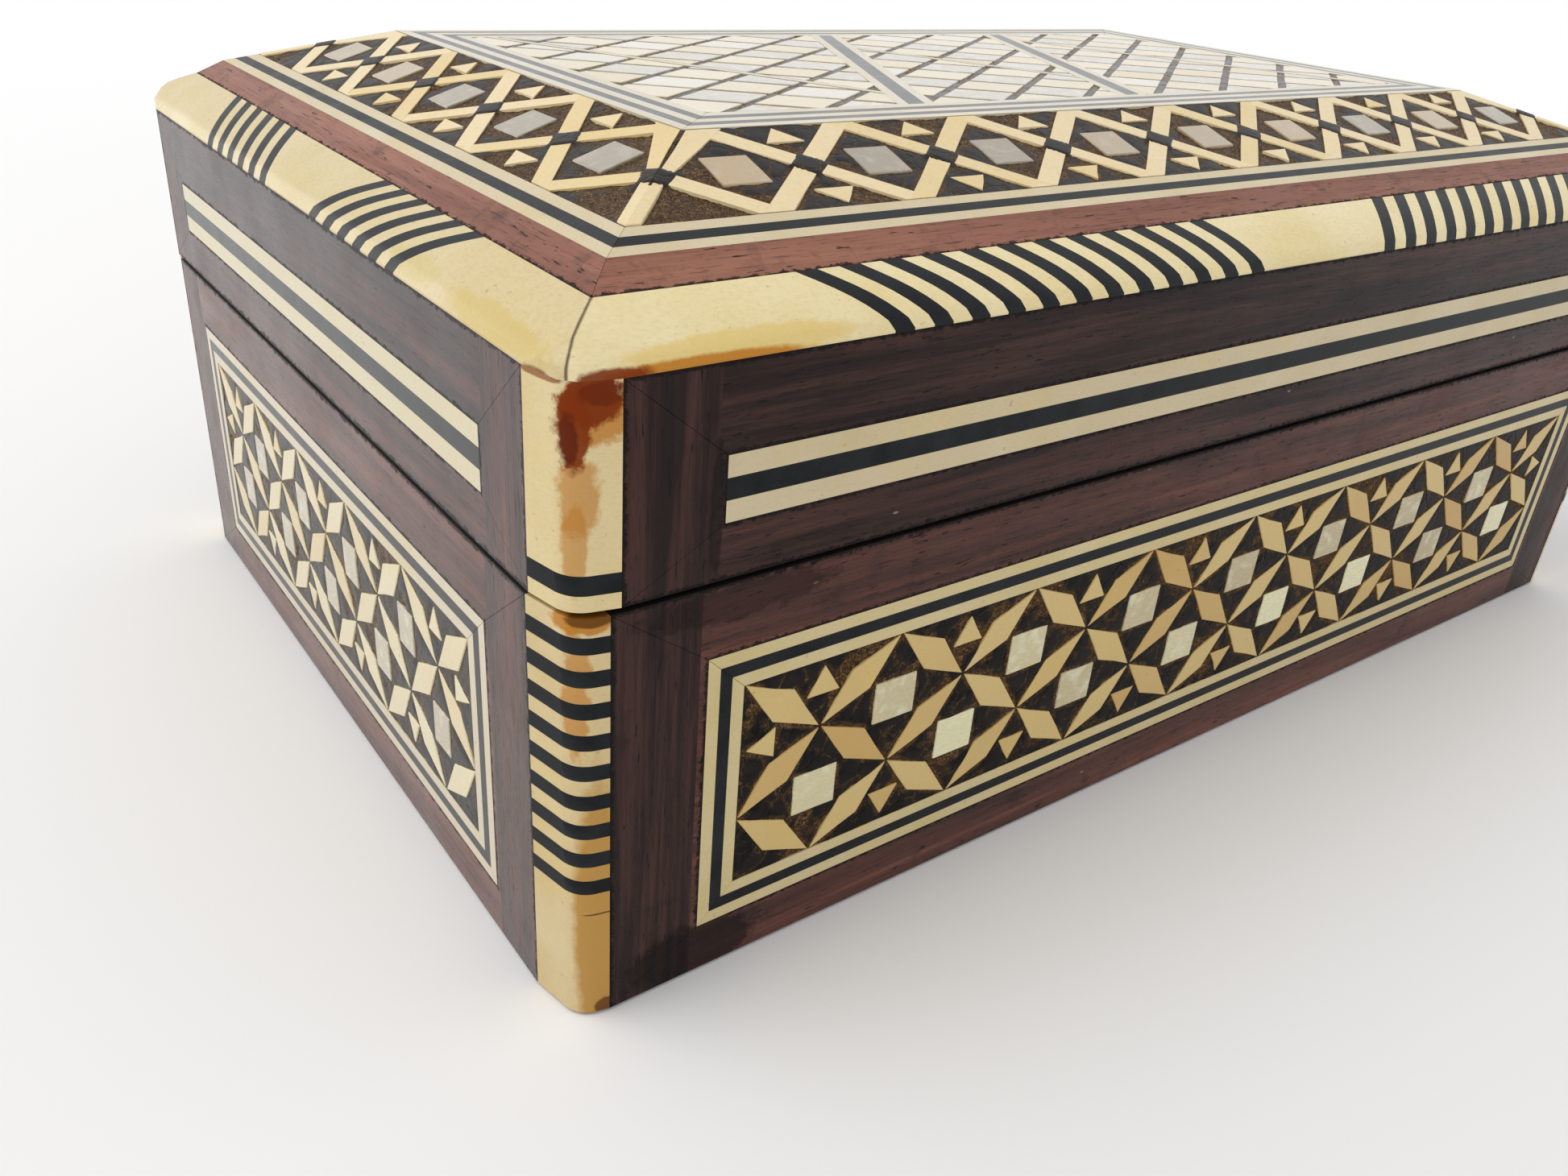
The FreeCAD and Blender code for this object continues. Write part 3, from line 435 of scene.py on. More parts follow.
def pearl(name, deep, light, gleam, ends=None):
    """Shell with wavy growth lines, a soft change of hue painted as a sheen, and a polished face.

    A colour for the ends is painted sheen on the short sides, and it is lighter towards the left.
    """
    made, s, shader, place = material(name)
    tone = s.add("Attribute", attribute_name="tone").outputs["Fac"]
    drift = s.noise(place, 0.16, 3, 0.5)
    shift = s.vector("SCALE", {0: s.join(drift, drift, tone), "Scale": 6.0})[0]
    moved = s.vector("ADD", {0: place, 1: shift})[0]
    lines = s.noise(s.stretch(moved, (0.55, 0.55, 1.7)), 1.3, 4, 0.6, 1.2)
    share = s.calc("MULTIPLY_ADD", tone, 0.75, s.calc("MULTIPLY", s.span(lines, 0.3, 0.7), 0.25))
    # Lighter towards the left end, rising from x = 40 to x = -50.
    if ends:
        towards_left = s.span(s.split(place)[0], -50.0, 40.0, 0.55, 0.0)
        share = s.calc("MULTIPLY_ADD", s.calc("SUBTRACT", 1.0, share), towards_left, share)
    colour = s.mix(share, deep, light)
    # On the short sides the colour of the ends is a painted sheen.
    if ends:
        colour = s.mix(s.calc("MULTIPLY", on_short_sides(s, place), 0.75), colour, ends)
    # Patches mixed towards the gleam colour are a painted sheen.
    hue = s.noise(moved, 0.7, 2, 0.5)
    colour = s.mix(s.span(hue, 0.52, 0.70, 0.0, 0.5), colour, gleam)
    s.feed(shader.inputs["Base Color"], colour)
    s.feed(shader.inputs["Roughness"], s.span(lines, 0.3, 0.7, 0.18, 0.34))
    s.feed(shader.inputs["Normal"], s.bump(lines, 0.00004, 0.5))
    shader.inputs["Coat Weight"].default_value = 0.4
    shader.inputs["Coat Roughness"].default_value = 0.12
    return made


def mastic(name, polish=0.0):
    """Black filler in polished plates, with fine cracks and brown resin where it is lost."""
    made, s, shader, place = material(name)
    bare = s.add("Attribute", attribute_name="bare").outputs["Fac"]
    drift = s.add("TexNoise", {"Vector": place, "Scale": 0.8, "Detail": 3.0}).outputs["Color"]
    bent = s.vector("MULTIPLY_ADD", {0: drift, 1: (1.3, 1.3, 1.3), 2: place})[0]
    edge = s.cells(bent, 0.42, "DISTANCE_TO_EDGE").outputs["Distance"]
    crack = s.span(edge, 0.070, 0.018)
    clouds = s.noise(place, 0.45, 4, 0.6)
    fibres = s.noise(place, 4.0, 5, 0.72, 1.6)
    plate = s.mix(s.span(clouds, 0.38, 0.66), (0.0045, 0.004, 0.004), (0.016, 0.012, 0.011))
    resin = s.ramp(fibres, [
        (0.36, (0.006, 0.003, 0.002)),
        (0.50, (0.085, 0.042, 0.018)),
        (0.70, (0.380, 0.250, 0.120)),
    ])
    loose = s.calc("MULTIPLY", crack, s.span(clouds, 0.42, 0.56))
    lost = s.calc("MAXIMUM", s.span(bare, 0.25, 0.55), s.calc("MULTIPLY", loose, 0.55))
    colour = s.mix(s.calc("MULTIPLY", crack, 0.8), plate, (0.004, 0.003, 0.002))
    s.feed(shader.inputs["Base Color"], s.mix(lost, colour, resin))
    dull = s.calc("MULTIPLY_ADD", clouds, 0.3, 0.26)
    s.feed(shader.inputs["Roughness"], s.calc("MULTIPLY_ADD", lost, 0.40, dull))
    cuts = s.calc("MULTIPLY", crack, -0.8)
    dips = s.calc("MULTIPLY_ADD", s.calc("MULTIPLY", fibres, lost), 1.4, cuts)
    relief = s.calc("MULTIPLY_ADD", fibres, 0.10, dips)
    s.feed(shader.inputs["Normal"], s.bump(relief, 0.00016, 0.8))
    shader.inputs["Specular IOR Level"].default_value = 0.08
    shader.inputs["Coat Weight"].default_value = polish
    shader.inputs["Coat Roughness"].default_value = 0.15
    return made


def carcass_wood(name):
    """Plain brown board, stained dark along its pores."""
    made, s, shader, place = material(name)
    bands = s.noise(s.stretch(place, (0.02, 0.55, 0.55)), 1.0, 5, 0.6, 0.5)
    pores = s.noise(s.stretch(place, (0.16, 4.2, 4.2)), 1.0, 4, 0.65)
    colour = s.ramp(bands, [(0.30, (0.080, 0.038, 0.018)), (0.70, (0.200, 0.105, 0.050))])
    colour = s.mix(s.span(pores, 0.58, 0.70, 0.0, 0.7), colour, (0.040, 0.019, 0.010))
    s.feed(shader.inputs["Base Color"], colour)
    s.feed(shader.inputs["Roughness"], s.calc("MULTIPLY_ADD", pores, 0.3, 0.45))
    s.feed(shader.inputs["Normal"], s.bump(pores, 0.00008, 0.7))
    return made


def velvet(name):
    """Short wine-red pile, brushed unevenly."""
    made, s, shader, place = material(name)
    brushed = s.noise(place, 0.09, 4, 0.6)
    pile = s.noise(place, 4.5, 3, 0.7)
    colour = s.ramp(brushed, [(0.34, (0.055, 0.004, 0.010)), (0.68, (0.150, 0.012, 0.022))])
    colour = s.mix(s.span(pile, 0.5, 0.75, 0.0, 0.4), colour, (0.26, 0.03, 0.045))
    s.feed(shader.inputs["Base Color"], colour)
    s.feed(shader.inputs["Normal"], s.bump(pile, 0.00020, 0.9))
    shader.inputs["Roughness"].default_value = 0.95
    shader.inputs["Sheen Weight"].default_value = 0.6
    shader.inputs["Sheen Roughness"].default_value = 0.4
    shader.inputs["Sheen Tint"].default_value = (0.6, 0.25, 0.28, 1)
    return made


def brass(name):
    """Old brass with brown tarnish and rubbed spots."""
    made, s, shader, place = material(name)
    clouds = s.noise(place, 0.7, 5, 0.65)
    tarnish = s.span(clouds, 0.42, 0.66)
    s.feed(shader.inputs["Base Color"], s.mix(tarnish, (0.70, 0.50, 0.20), (0.22, 0.13, 0.05)))
    s.feed(shader.inputs["Roughness"], s.calc("MULTIPLY_ADD", tarnish, 0.35, 0.24))
    s.feed(shader.inputs["Normal"], s.bump(clouds, 0.00005, 0.5))
    shader.inputs["Metallic"].default_value = 1.0
    return made


# Stains at the near corner: centre and reach in millimetres, raggedness, colour and weight
RUST = (0.210, 0.030, 0.001)
DEEP_RUST = (0.100, 0.010, 0.001)
OCHRE = (0.500, 0.200, 0.022)
STRAW = (0.700, 0.500, 0.130)
SOOT = (0.030, 0.014, 0.006)
LID_POST_STAINS = [
    ((-73.3, -48.8, 44.2), (1.5, 2.2, 2.9), 1.3, OCHRE, 0.70),
    ((-73.6, -48.7, 40.4), (0.75, 2.2, 3.4), 1.0, OCHRE, 0.65),
    ((-72.5, -48.9, 49.6), (2.5, 2.2, 2.3), 1.2, OCHRE, 0.85),
    ((-72.6, -48.9, 50.5), (2.4, 2.2, 1.9), 1.3, RUST, 0.97),
    ((-73.7, -48.8, 48.6), (1.1, 2.2, 3.0), 1.2, RUST, 0.95),
    ((-73.9, -48.8, 47.9), (0.6, 2.2, 1.9), 1.0, DEEP_RUST, 0.80),
    ((-71.9, -48.9, 50.8), (1.5, 2.2, 0.9), 1.0, DEEP_RUST, 0.55),
    ((-75.0, -46.5, 51.5), (1.5, 2.6, 0.35), 0.6, RUST, 0.75),
]
EDGE_STAINS = [
    ((-62.0, -48.8, 52.3), (10.0, 1.4, 1.2), 0.7, STRAW, 0.60),
    ((-65.0, -49.4, 51.6), (8.5, 0.80, 0.80), 0.5, OCHRE, 0.95),
    ((-72.0, -49.3, 51.6), (3.8, 0.85, 0.85), 0.6, RUST, 0.95),
    ((-74.9, -47.0, 51.5), (0.5, 2.6, 0.45), 0.5, RUST, 0.80),
    ((-74.2, -39.5, 52.4), (1.3, 8.0, 1.3), 0.9, (0.72, 0.56, 0.17), 0.55),
    ((-74.0, -26.0, 52.6), (1.2, 5.0, 1.2), 1.0, (0.72, 0.60, 0.22), 0.40),
]
BASE_POST_STAINS = [
    ((-72.4, -49.8, 9.0), (2.6, 2.4, 16.0), 0.4, (0.470, 0.240, 0.045), 0.88),
    ((-73.7, -48.6, 29.5), (0.9, 1.4, 7.0), 1.8, OCHRE, 0.70),
    ((-73.5, -48.6, 35.2), (3.0, 2.6, 0.9), 0.9, OCHRE, 0.90),
    ((-72.9, -48.9, 35.4), (2.0, 1.6, 0.55), 0.7, (0.130, 0.048, 0.006), 0.92),
    ((-71.8, -49.0, 0.8), (0.9, 1.2, 0.9), 0.8, (0.130, 0.045, 0.010), 0.90),
    ((-72.3, -49.2, 10.3), (1.7, 1.0, 0.09), 0.5, SOOT, 0.75),
]
# Dark marks on the wood of the long sides: centre, reach, raggedness and weight. They are beside
# the near end of the lid's lines, at the foot of the near stile and on the rail above it.
DARK_PATCHES = {
    ("lid", "long"): [((-63.6, -49.2, 41.2), (0.55, 1.0, 5.6), 1.2, 0.75)],
    ("base", "long"): [
        ((-64.0, -49.2, 2.4), (7.0, 1.0, 3.4), 0.9, 0.85),
        ((-61.0, -49.2, 34.0), (9.0, 1.0, 1.6), 1.2, 0.6),
    ],
}

ROSEWOOD = {
    kind: rosewood("rosewood_%s_%s" % kind, kind, DARK_PATCHES.get(kind, ()))
    for kind in [(level, side) for level in ("base", "lid") for side in HALF]
}
BEVEL_ROSEWOOD = rosewood("rosewood_bevel", ("bevel", ""))
LATTICE_BONE = bone("bone_lattice", (0.65, 0.48, 0.195), (0.545, 0.325, 0.088), tones=True)
# A paler copy of the lattice bone for the short sides: its paler colour is painted sheen.
SHEEN_SIDE_LATTICE_BONE = bone(
    "bone_side_lattice_painted_sheen", (0.80, 0.71, 0.48), (0.73, 0.58, 0.32), tones=True, polish=0.35)
# The colours for the ends of these two bones are painted sheen on the short sides.
STRINGING_BONE = bone(
    "bone_stringing", (0.66, 0.56, 0.33), (0.58, 0.46, 0.20), ends=(0.70, 0.62, 0.48))
LID_LINE_BONE = bone(
    "bone_lid_lines", (0.64, 0.55, 0.375), (0.57, 0.465, 0.265), ends=(0.72, 0.64, 0.40))
EDGE_BONE = bone(
    "bone_edging", (0.83, 0.725, 0.47), (0.75, 0.62, 0.31), EDGE_STAINS, gloss=0.30, mitred=True)
LID_POST_BONE = bone("bone_lid_posts", (0.76, 0.645, 0.385), (0.68, 0.53, 0.24), LID_POST_STAINS)
BASE_POST_BONE = bone("bone_base_posts", (0.70, 0.585, 0.345), (0.61, 0.45, 0.20), BASE_POST_STAINS)
BAND_BONE = bone("bone_bevel_bars", (0.78, 0.63, 0.37), (0.70, 0.52, 0.21), tones=True)
PANEL_BONE = bone(
    "bone_top_panel", (0.75, 0.655, 0.485), (0.67, 0.56, 0.35), tones=True, polish=0.5)
FRAME_BONE = bone("bone_top_frame", (0.64, 0.58, 0.45), (0.56, 0.48, 0.31), polish=0.5)
BLACK = black_line("black_inlay")
LINE_BLACK = black_line("black_lines", ends=0.55)
TOP_BLACK = black_line("black_top_inlay", polish=0.45)
# The base pearl's colour for the ends is painted sheen on the short sides.
BASE_PEARL = pearl(
    "pearl_base", (0.46, 0.37, 0.20), (0.84, 0.80, 0.50), (0.80, 0.80, 0.60),
    ends=(0.52, 0.45, 0.36))
BAND_PEARL = pearl("pearl_bevel", (0.31, 0.26, 0.185), (0.48, 0.34, 0.175), (0.47, 0.40, 0.30))
PANEL_PEARL = pearl("pearl_top", (0.50, 0.46, 0.38), (0.74, 0.685, 0.58), (0.80, 0.75, 0.69))
MASTIC = mastic("mastic_filler")
SIDE_MASTIC = mastic("mastic_side_filler", polish=0.5)
BEVEL_MASTIC = mastic("mastic_bevel_filler", polish=0.15)
TOP_MASTIC = mastic("mastic_top_filler", polish=0.45)
CARCASS = carcass_wood("carcass_wood")
VELVET = velvet("wine_velvet")
BRASS = brass("aged_brass")


# Modelling helpers

def pick_only(obj):
    """Deselect everything, then make one object selected and active."""
    bpy.ops.object.select_all(action="DESELECT")
    obj.select_set(True)
    bpy.context.view_layer.objects.active = obj


def finish_with(obj, kind, **settings):
    """Add a modifier and apply it."""
    pick_only(obj)
    bpy.ops.object.modifier_add(type=kind)
    modifier = obj.modifiers[-1]
    for name, value in settings.items():
        setattr(modifier, name, value)
    bpy.ops.object.modifier_apply(modifier=modifier.name)


def edit_all(obj):
    """Open one object in edit mode with all of it selected."""
    pick_only(obj)
    bpy.ops.object.mode_set(mode="EDIT")
    bpy.ops.mesh.select_all(action="SELECT")


def leave_edit():
    bpy.ops.object.mode_set(mode="OBJECT")


def face_outwards(obj):
    """Turn all faces of a closed piece outwards."""
    edit_all(obj)
    bpy.ops.mesh.normals_make_consistent(inside=False)
    leave_edit()


def soften(obj, width, angle):
    """Round the edges that turn by more than an angle."""
    finish_with(obj, "BEVEL", width=width * MM, segments=2, limit_method="ANGLE",
                angle_limit=math.radians(angle))


def smooth(obj, angle):
    """Smooth shading, with the edges that turn by more than an angle kept sharp."""
    pick_only(obj)
    bpy.ops.object.shade_smooth_by_angle(angle=math.radians(angle))


def smooth_round(obj):
    """Smooth shading that keeps flat faces flat beside rounded edges."""
    smooth(obj, 40)
    finish_with(obj, "WEIGHTED_NORMAL", keep_sharp=True, weight=100)


def join_as(name, made):
    """Join new pieces into one."""
    pick_only(made[0])
    for obj in made:
        obj.select_set(True)
    if len(made) > 1:
        bpy.ops.object.join()
    made[0].name = name
    return made[0]


def axes(right, up, out, origin):
    """The matrix with these three directions and this origin, in metres."""
    columns = (right, up, out, origin)
    return Matrix([[*(c[i] for c in columns)] for i in range(3)] + [[0, 0, 0, 1]])


def coat(obj, finish):
    """Give an object one finish all over."""
    obj.data.materials.clear()
    obj.data.materials.append(finish)


def settle(obj, body, slot, finish, *stands_for):
    """Paint a new piece, make it ride on its body and let it stand for CAD nodes."""
    coat(obj, finish)
    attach(obj, body)
    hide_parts(*stands_for)


def merged_copy(node, name):
    """A node's shape as a new piece with joined corners and whole faces, in edit mode."""
    piece = bpy.data.objects.new(name, NODES[node].data.copy())
    bpy.context.scene.collection.objects.link(piece)
    edit_all(piece)
    bpy.ops.mesh.remove_doubles(threshold=0.01 * MM)
    bpy.ops.mesh.dissolve_limited(angle_limit=math.radians(1.0))
    return piece


def islands(mesh):
    """The vertices of each separate solid of a mesh."""
    parent = list(range(len(mesh.vertices)))

    def root(i):
        while parent[i] != i:
            parent[i] = parent[parent[i]]
            i = parent[i]
        return i

    for edge in mesh.edges:
        a, b = edge.vertices
        parent[root(a)] = root(b)
    found = {}
    for i in range(len(parent)):
        found.setdefault(root(i), []).append(i)
    return found.values()


# Tesserae

def band_step(kind):
    """Half the distance between two crossings of the bars on a long or short side."""
    return (HALF[kind] - BAND_MIDDLE) / BAND_CELLS[kind]


def band_height(inset):
    """Height of the face of the lid's band at an inset."""
    return LID_TOP - math.tan(BAND_TILT) * (BAND_OUT - inset)


def even_mitre_bar(spot):
    """Narrows an inner bar on a mitre of the lid's band towards the width of the other bars."""
    insets = (HALF_LENGTH - abs(spot.x) / MM, HALF_DEPTH - abs(spot.y) / MM)
    inset, off = min(insets), abs(insets[0] - insets[1])
    axis, kind = (0, "long") if insets[1] < insets[0] else (1, "short")
    lean = band_step(kind) / BAND_HALF
    width = BAR_HALF * math.hypot(lean, 1)
    edge = width + (lean - 1) * (inset - BAND_MIDDLE)
    if inset > BAND_MIDDLE + MITRE_START and off < edge + MITRE_SLACK:
        evened = width * max(0.0, off - BAR_GAP) / (edge - BAR_GAP)
        spot[axis] -= math.copysign((evened - off) * MM, spot[axis])


def hand_cut(node, name, body, slot, finish, shape=None):
    """A node's tesserae with slightly uneven outlines, softened edges and a tone for each."""
    piece = merged_copy(node, name)
    bpy.ops.mesh.select_all(action="SELECT")
    bpy.ops.mesh.subdivide(number_cuts=1)
    leave_edit()
    mesh = piece.data
    tones = mesh.attributes.new("tone", "FLOAT", "POINT")
    for solid in islands(mesh):
        centre = sum((mesh.vertices[i].co for i in solid), Vector()) / len(solid)
        tone = noise.cell(centre / MM * 1.37 + Vector((7.3, 1.9, 4.1)))
        out = Vector((0, 0, 1))
        if centre.z < LID_LOW * MM:
            at_end = HALF_LENGTH * MM - abs(centre.x) < HALF_DEPTH * MM - abs(centre.y)
            out = Vector((1, 0, 0)) if at_end else Vector((0, 1, 0))
        for i in solid:
            vertex = mesh.vertices[i]
            if shape:
                shape(vertex.co)
            push = noise.noise_vector(vertex.co / MM * 0.83)
            push -= out * push.dot(out)
            vertex.co += push * TESSERA_WOBBLE * MM
            tones.data[i].value = tone
    soften(piece, TESSERA_EASE, 40)
    settle(piece, body, slot, finish, node)
    return piece


def outer_mitre_bars(name, finish):
    """Whole bars over the slivers on the mitres, from the outside of the band to its crossings."""
    bars = []
    ends = (BAND_IN + BAR_GAP, BAND_MIDDLE - SQUARE_HALF)
    for corner_x in (-1, 1):
        for corner_y in (-1, 1):
            bpy.ops.object.select_all(action="DESELECT")
            bpy.ops.mesh.primitive_cube_add(size=2)
            bars.append(bpy.context.object)
            edit_all(bars[-1])
            bpy.ops.mesh.bisect(plane_co=(0, 0, 0), plane_no=(1, 0, 0))
            leave_edit()
            for vertex in bars[-1].data.vertices:
                inset = ends[vertex.co.y > 0]
                spread = vertex.co.x * BAR_HALF * math.sqrt(2)
                x = HALF_LENGTH - inset - max(0.0, spread)
                y = HALF_DEPTH - inset - max(0.0, -spread)
                z = band_height(inset) + (BAR_PROUD if vertex.co.z > 0 else -BAR_DEPTH)
                vertex.co = Vector((corner_x * x, corner_y * y, z)) * MM
    piece = join_as(name, bars)
    face_outwards(piece)
    soften(piece, TESSERA_EASE, 40)
    settle(piece, "lid", "bone", finish)


# Corner posts and edging

def rounded_posts(node, name, body, slot, finish):
    """Corner posts with their filed arris rounded and their bands eased."""
    piece = merged_copy(node, name)
    bpy.ops.mesh.select_mode(type="EDGE")
    bpy.ops.mesh.select_all(action="DESELECT")
    leave_edit()
    mesh = piece.data
    for edge in mesh.edges:
        a, b = (mesh.vertices[i].co for i in edge.vertices)
        upright = abs(a.x - b.x) + abs(a.y - b.y) < 0.02 * MM
        from_corner = HALF_LENGTH * MM - abs(a.x) + HALF_DEPTH * MM - abs(a.y)
        edge.select = upright and from_corner < ARRIS_NEAR * MM
    bpy.ops.object.mode_set(mode="EDIT")
    bpy.ops.mesh.bevel(offset=POST_ARRIS * MM, segments=6)
    bpy.ops.mesh.select_mode(type="VERT")
    leave_edit()
    soften(piece, POST_EASE, 50)
    smooth_round(piece)
    settle(piece, body, slot, finish, node)


def rounded_edging(node, name, slot, finish):
    """The lid's edging, its slope filed to a soft round from the lip to the rosewood."""
    piece = merged_copy(node, name)
    for inset in EDGE_CUTS:
        for axis, half in (((1, 0, 0), HALF_LENGTH), ((0, 1, 0), HALF_DEPTH)):
            for sign in (-1, 1):
                spot = Vector(axis) * sign * (half - inset) * MM
                bpy.ops.mesh.select_all(action="SELECT")
                bpy.ops.mesh.bisect(plane_co=spot, plane_no=axis)
    leave_edit()
    for vertex in piece.data.vertices:
        x, y, z = vertex.co / MM
        inset = min(HALF_LENGTH - abs(x), HALF_DEPTH - abs(y))
        slope = EDGE_LIP + EDGE_SLOPE * inset
        if abs(z - slope) < 0.02:
            share = max(0.0, inset / EDGE_RUN)
            swell = EDGE_SWELL * math.sin(math.pi * share ** 0.75)
            swell -= EDGE_LIP_DROP * max(0.0, 1 - inset / EDGE_CUTS[0])
            corner = (HALF_LENGTH - abs(x) + HALF_DEPTH - abs(y)) / math.sqrt(2) - EDGE_CORNER
            drop = CORNER_DROP * max(0.0, 1 - corner / CORNER_REACH) * (z + swell - EDGE_LOW)
            vertex.co.z += (swell - drop) * MM
    smooth_round(piece)
    settle(piece, "lid", slot, finish, node)


# Filler

def outlines(pieces):
    """Points along the edges of the tesserae, to look up the nearest one."""
    points = []
    for piece in pieces:
        spots = [v.co for v in piece.data.vertices]
        for edge in piece.data.edges:
            a, b = (spots[i] for i in edge.vertices)
            count = int((b - a).length / (RIM_SPACING * MM)) + 1
            points += [a.lerp(b, k / count) for k in range(count)]
    tree = kdtree.KDTree(len(points))
    for i, point in enumerate(points):
        tree.insert(point, i)
    tree.balance()
    return tree


def filler_sheet(name, length, width, step, body, node, place, rims, finish, hold,
                 worn=(), trim=(), squares=()):
    """Filler as a fine sheet, sunk where it has fallen out, closed below and set in its place.

    Rims are the outlines of the tesserae, beside which it crumbles first. Worn patches are given as
    x, y and reach from the middle of the sheet. Trim planes cut its ends. Squares are the crossings
    of the bars, where it fills the gap and lies over the ends of the bars.
    """
    bpy.ops.object.select_all(action="DESELECT")
    bpy.ops.mesh.primitive_grid_add(
        x_subdivisions=int(length / step), y_subdivisions=int(width / step), size=1)
    piece = bpy.context.object
    piece.name = name
    piece.data.transform(Matrix.Diagonal((length * MM, width * MM, 1, 1)))
    edit_all(piece)
    for point, normal in trim:
        bpy.ops.mesh.select_all(action="SELECT")
        bpy.ops.mesh.bisect(plane_co=Vector(point) * MM, plane_no=normal, clear_outer=True)
    leave_edit()
    mesh = piece.data
    losses = mesh.attributes.new("bare", "FLOAT", "POINT")
    seat = Vector((len(name) * 13.7, length, width))
    for vertex in mesh.vertices:
        flat = vertex.co / MM
        at = flat + seat
        bare = noise.fractal(at * 0.14, 0.6, 2.0, 4) * 1.5 - hold
        for x, y, reach in worn:
            bare += 0.85 * max(0.0, 1 - math.hypot(flat.x - x, 1.6 * (flat.y - y)) / reach)
        gap = rims.find(place @ vertex.co)[2] / MM
        crumbs = 0.52 + 0.75 * noise.noise(at * 0.45)
        bare = max(bare, crumbs * max(0.0, 1 - gap / CRUMBLE_WIDTH))
        bare = min(1.0, max(0.0, bare + 0.25 * noise.noise(at * 1.1)))
        grit = noise.noise(at * 3.1)
        sunk = 0.05 + bare * (0.16 + 0.12 * grit) + 0.03 * noise.noise(at * 0.4)
        for x, along, across in squares:
            inside = 1 - abs(flat.x - x) / along - abs(flat.y) / across
            cover = min(1.0, max(0.0, 4 * inside + 0.5))
            bare *= 1 - cover
            sunk -= cover * (sunk + SQUARE_PROUD)
        vertex.co.z = -sunk * MM
        losses.data[vertex.index].value = bare
    edit_all(piece)
    bpy.ops.mesh.region_to_loop()
    bpy.ops.mesh.extrude_region_move(TRANSFORM_OT_translate={"value": (0, 0, -FILLER_DEPTH * MM)})
    bpy.ops.mesh.edge_face_add()
    leave_edit()
    face_outwards(piece)
    mesh.transform(place)
    smooth(piece, 60)
    settle(piece, body, "mastic", finish, node)


def side_place(side, height):
    """Turns a flat sheet to lie on one side of the box, its middle at a height."""
    along = {"front": (1, 0, 0), "right": (0, 1, 0), "back": (-1, 0, 0), "left": (0, -1, 0)}[side]
    up = Vector((0, 0, 1))
    out = Vector(along).cross(up)
    away = HALF_DEPTH if KIND[side] == "long" else HALF_LENGTH
    return axes(Vector(along), up, out, (out * away + up * height) * MM)


def band_place(side):
    """Turns a flat sheet to lie on one slope of the lid's band, its middle on the crossings."""
    base = side_place(side, band_height(BAND_MIDDLE))
    along, up, out, face = (base.col[i].to_3d() for i in range(4))
    inward = -out * math.cos(BAND_TILT) + up * math.sin(BAND_TILT)
    return axes(along, inward, along.cross(inward), face - out * BAND_MIDDLE * MM)


# Velvet linings

def velvet_panel(low, high, out):
    """One padded panel between two corners, its face towards out softly crowned."""
    bpy.ops.object.select_all(action="DESELECT")
    size = Vector(high) - Vector(low)
    middle = (Vector(high) + Vector(low)) / 2
    bpy.ops.mesh.primitive_cube_add(size=1)
    panel = bpy.context.object
    panel.data.transform(Matrix.Translation(middle) @ Matrix.Diagonal((*size, 1)))
    edit_all(panel)
    bpy.ops.mesh.bevel(offset=VELVET_ROUND * MM, segments=3)
    bpy.ops.mesh.select_all(action="SELECT")
    bpy.ops.mesh.subdivide(number_cuts=5)
    leave_edit()
    direction = Vector(out)
    flat = [i for i in range(3) if not out[i]]
    for vertex in panel.data.vertices:
        if (vertex.co - middle).dot(direction) > 0:
            puff = noise.noise(vertex.co / MM * 0.06) * 0.08 - 0.10
            margin = min(size[i] / 2 - abs(vertex.co[i] - middle[i]) for i in flat)
            share = min(1.0, max(0.0, margin / (VELVET_CROWN * MM)))
            vertex.co += direction * (puff - 0.12 * (1 - share)) * MM
    return panel


def lining(name, panels, body, node):
    """Panels joined as one lining that stands for its card in the CAD model."""
    piece = join_as(name, [velvet_panel(*panel) for panel in panels])
    smooth(piece, 60)
    settle(piece, body, "velvet", VELVET, node)


def wall_panels(node):
    """The four walls of a lining: two corners of each, and the way it faces."""
    low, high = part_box(node)
    thick = LINING_THICK * MM
    return [
        ((low.x, low.y, low.z), (high.x, low.y + thick, high.z), (0, 1, 0)),
        ((low.x, high.y - thick, low.z), (high.x, high.y, high.z), (0, -1, 0)),
        ((low.x, low.y + thick, low.z), (low.x + thick, high.y - thick, high.z), (1, 0, 0)),
        ((high.x - thick, low.y + thick, low.z), (high.x, high.y - thick, high.z), (-1, 0, 0)),
    ]


# Finishes of the CAD nodes that keep their shape

FINISHES = {
    "lid_bevel_rosewood": BEVEL_ROSEWOOD,
    "base_bone_stringing": STRINGING_BONE,
    "base_black_stringing": LINE_BLACK,
    "lid_side_bone_lines": LID_LINE_BONE,
    "lid_side_black_lines": LINE_BLACK,
    "lid_bevel_bone_stringing": LID_LINE_BONE,
    "lid_bevel_black_stringing": BLACK,
    "lid_frame_bone": FRAME_BONE,
    "lid_frame_black": TOP_BLACK,
    "lid_panel_bone_lines": FRAME_BONE,
    "lid_panel_black_lines": TOP_BLACK,
}
for level in ("base", "lid"):
    for side, kind in KIND.items():
        FINISHES["%s_%s_rosewood" % (level, side)] = ROSEWOOD[level, kind]
for node in NODES:
    if node.endswith("_board"):
        FINISHES[node] = CARCASS
    if node.endswith(("_leaf", "_nails")):
        FINISHES[node] = BRASS
for node, finish in FINISHES.items():
    coat(NODES[node], finish)

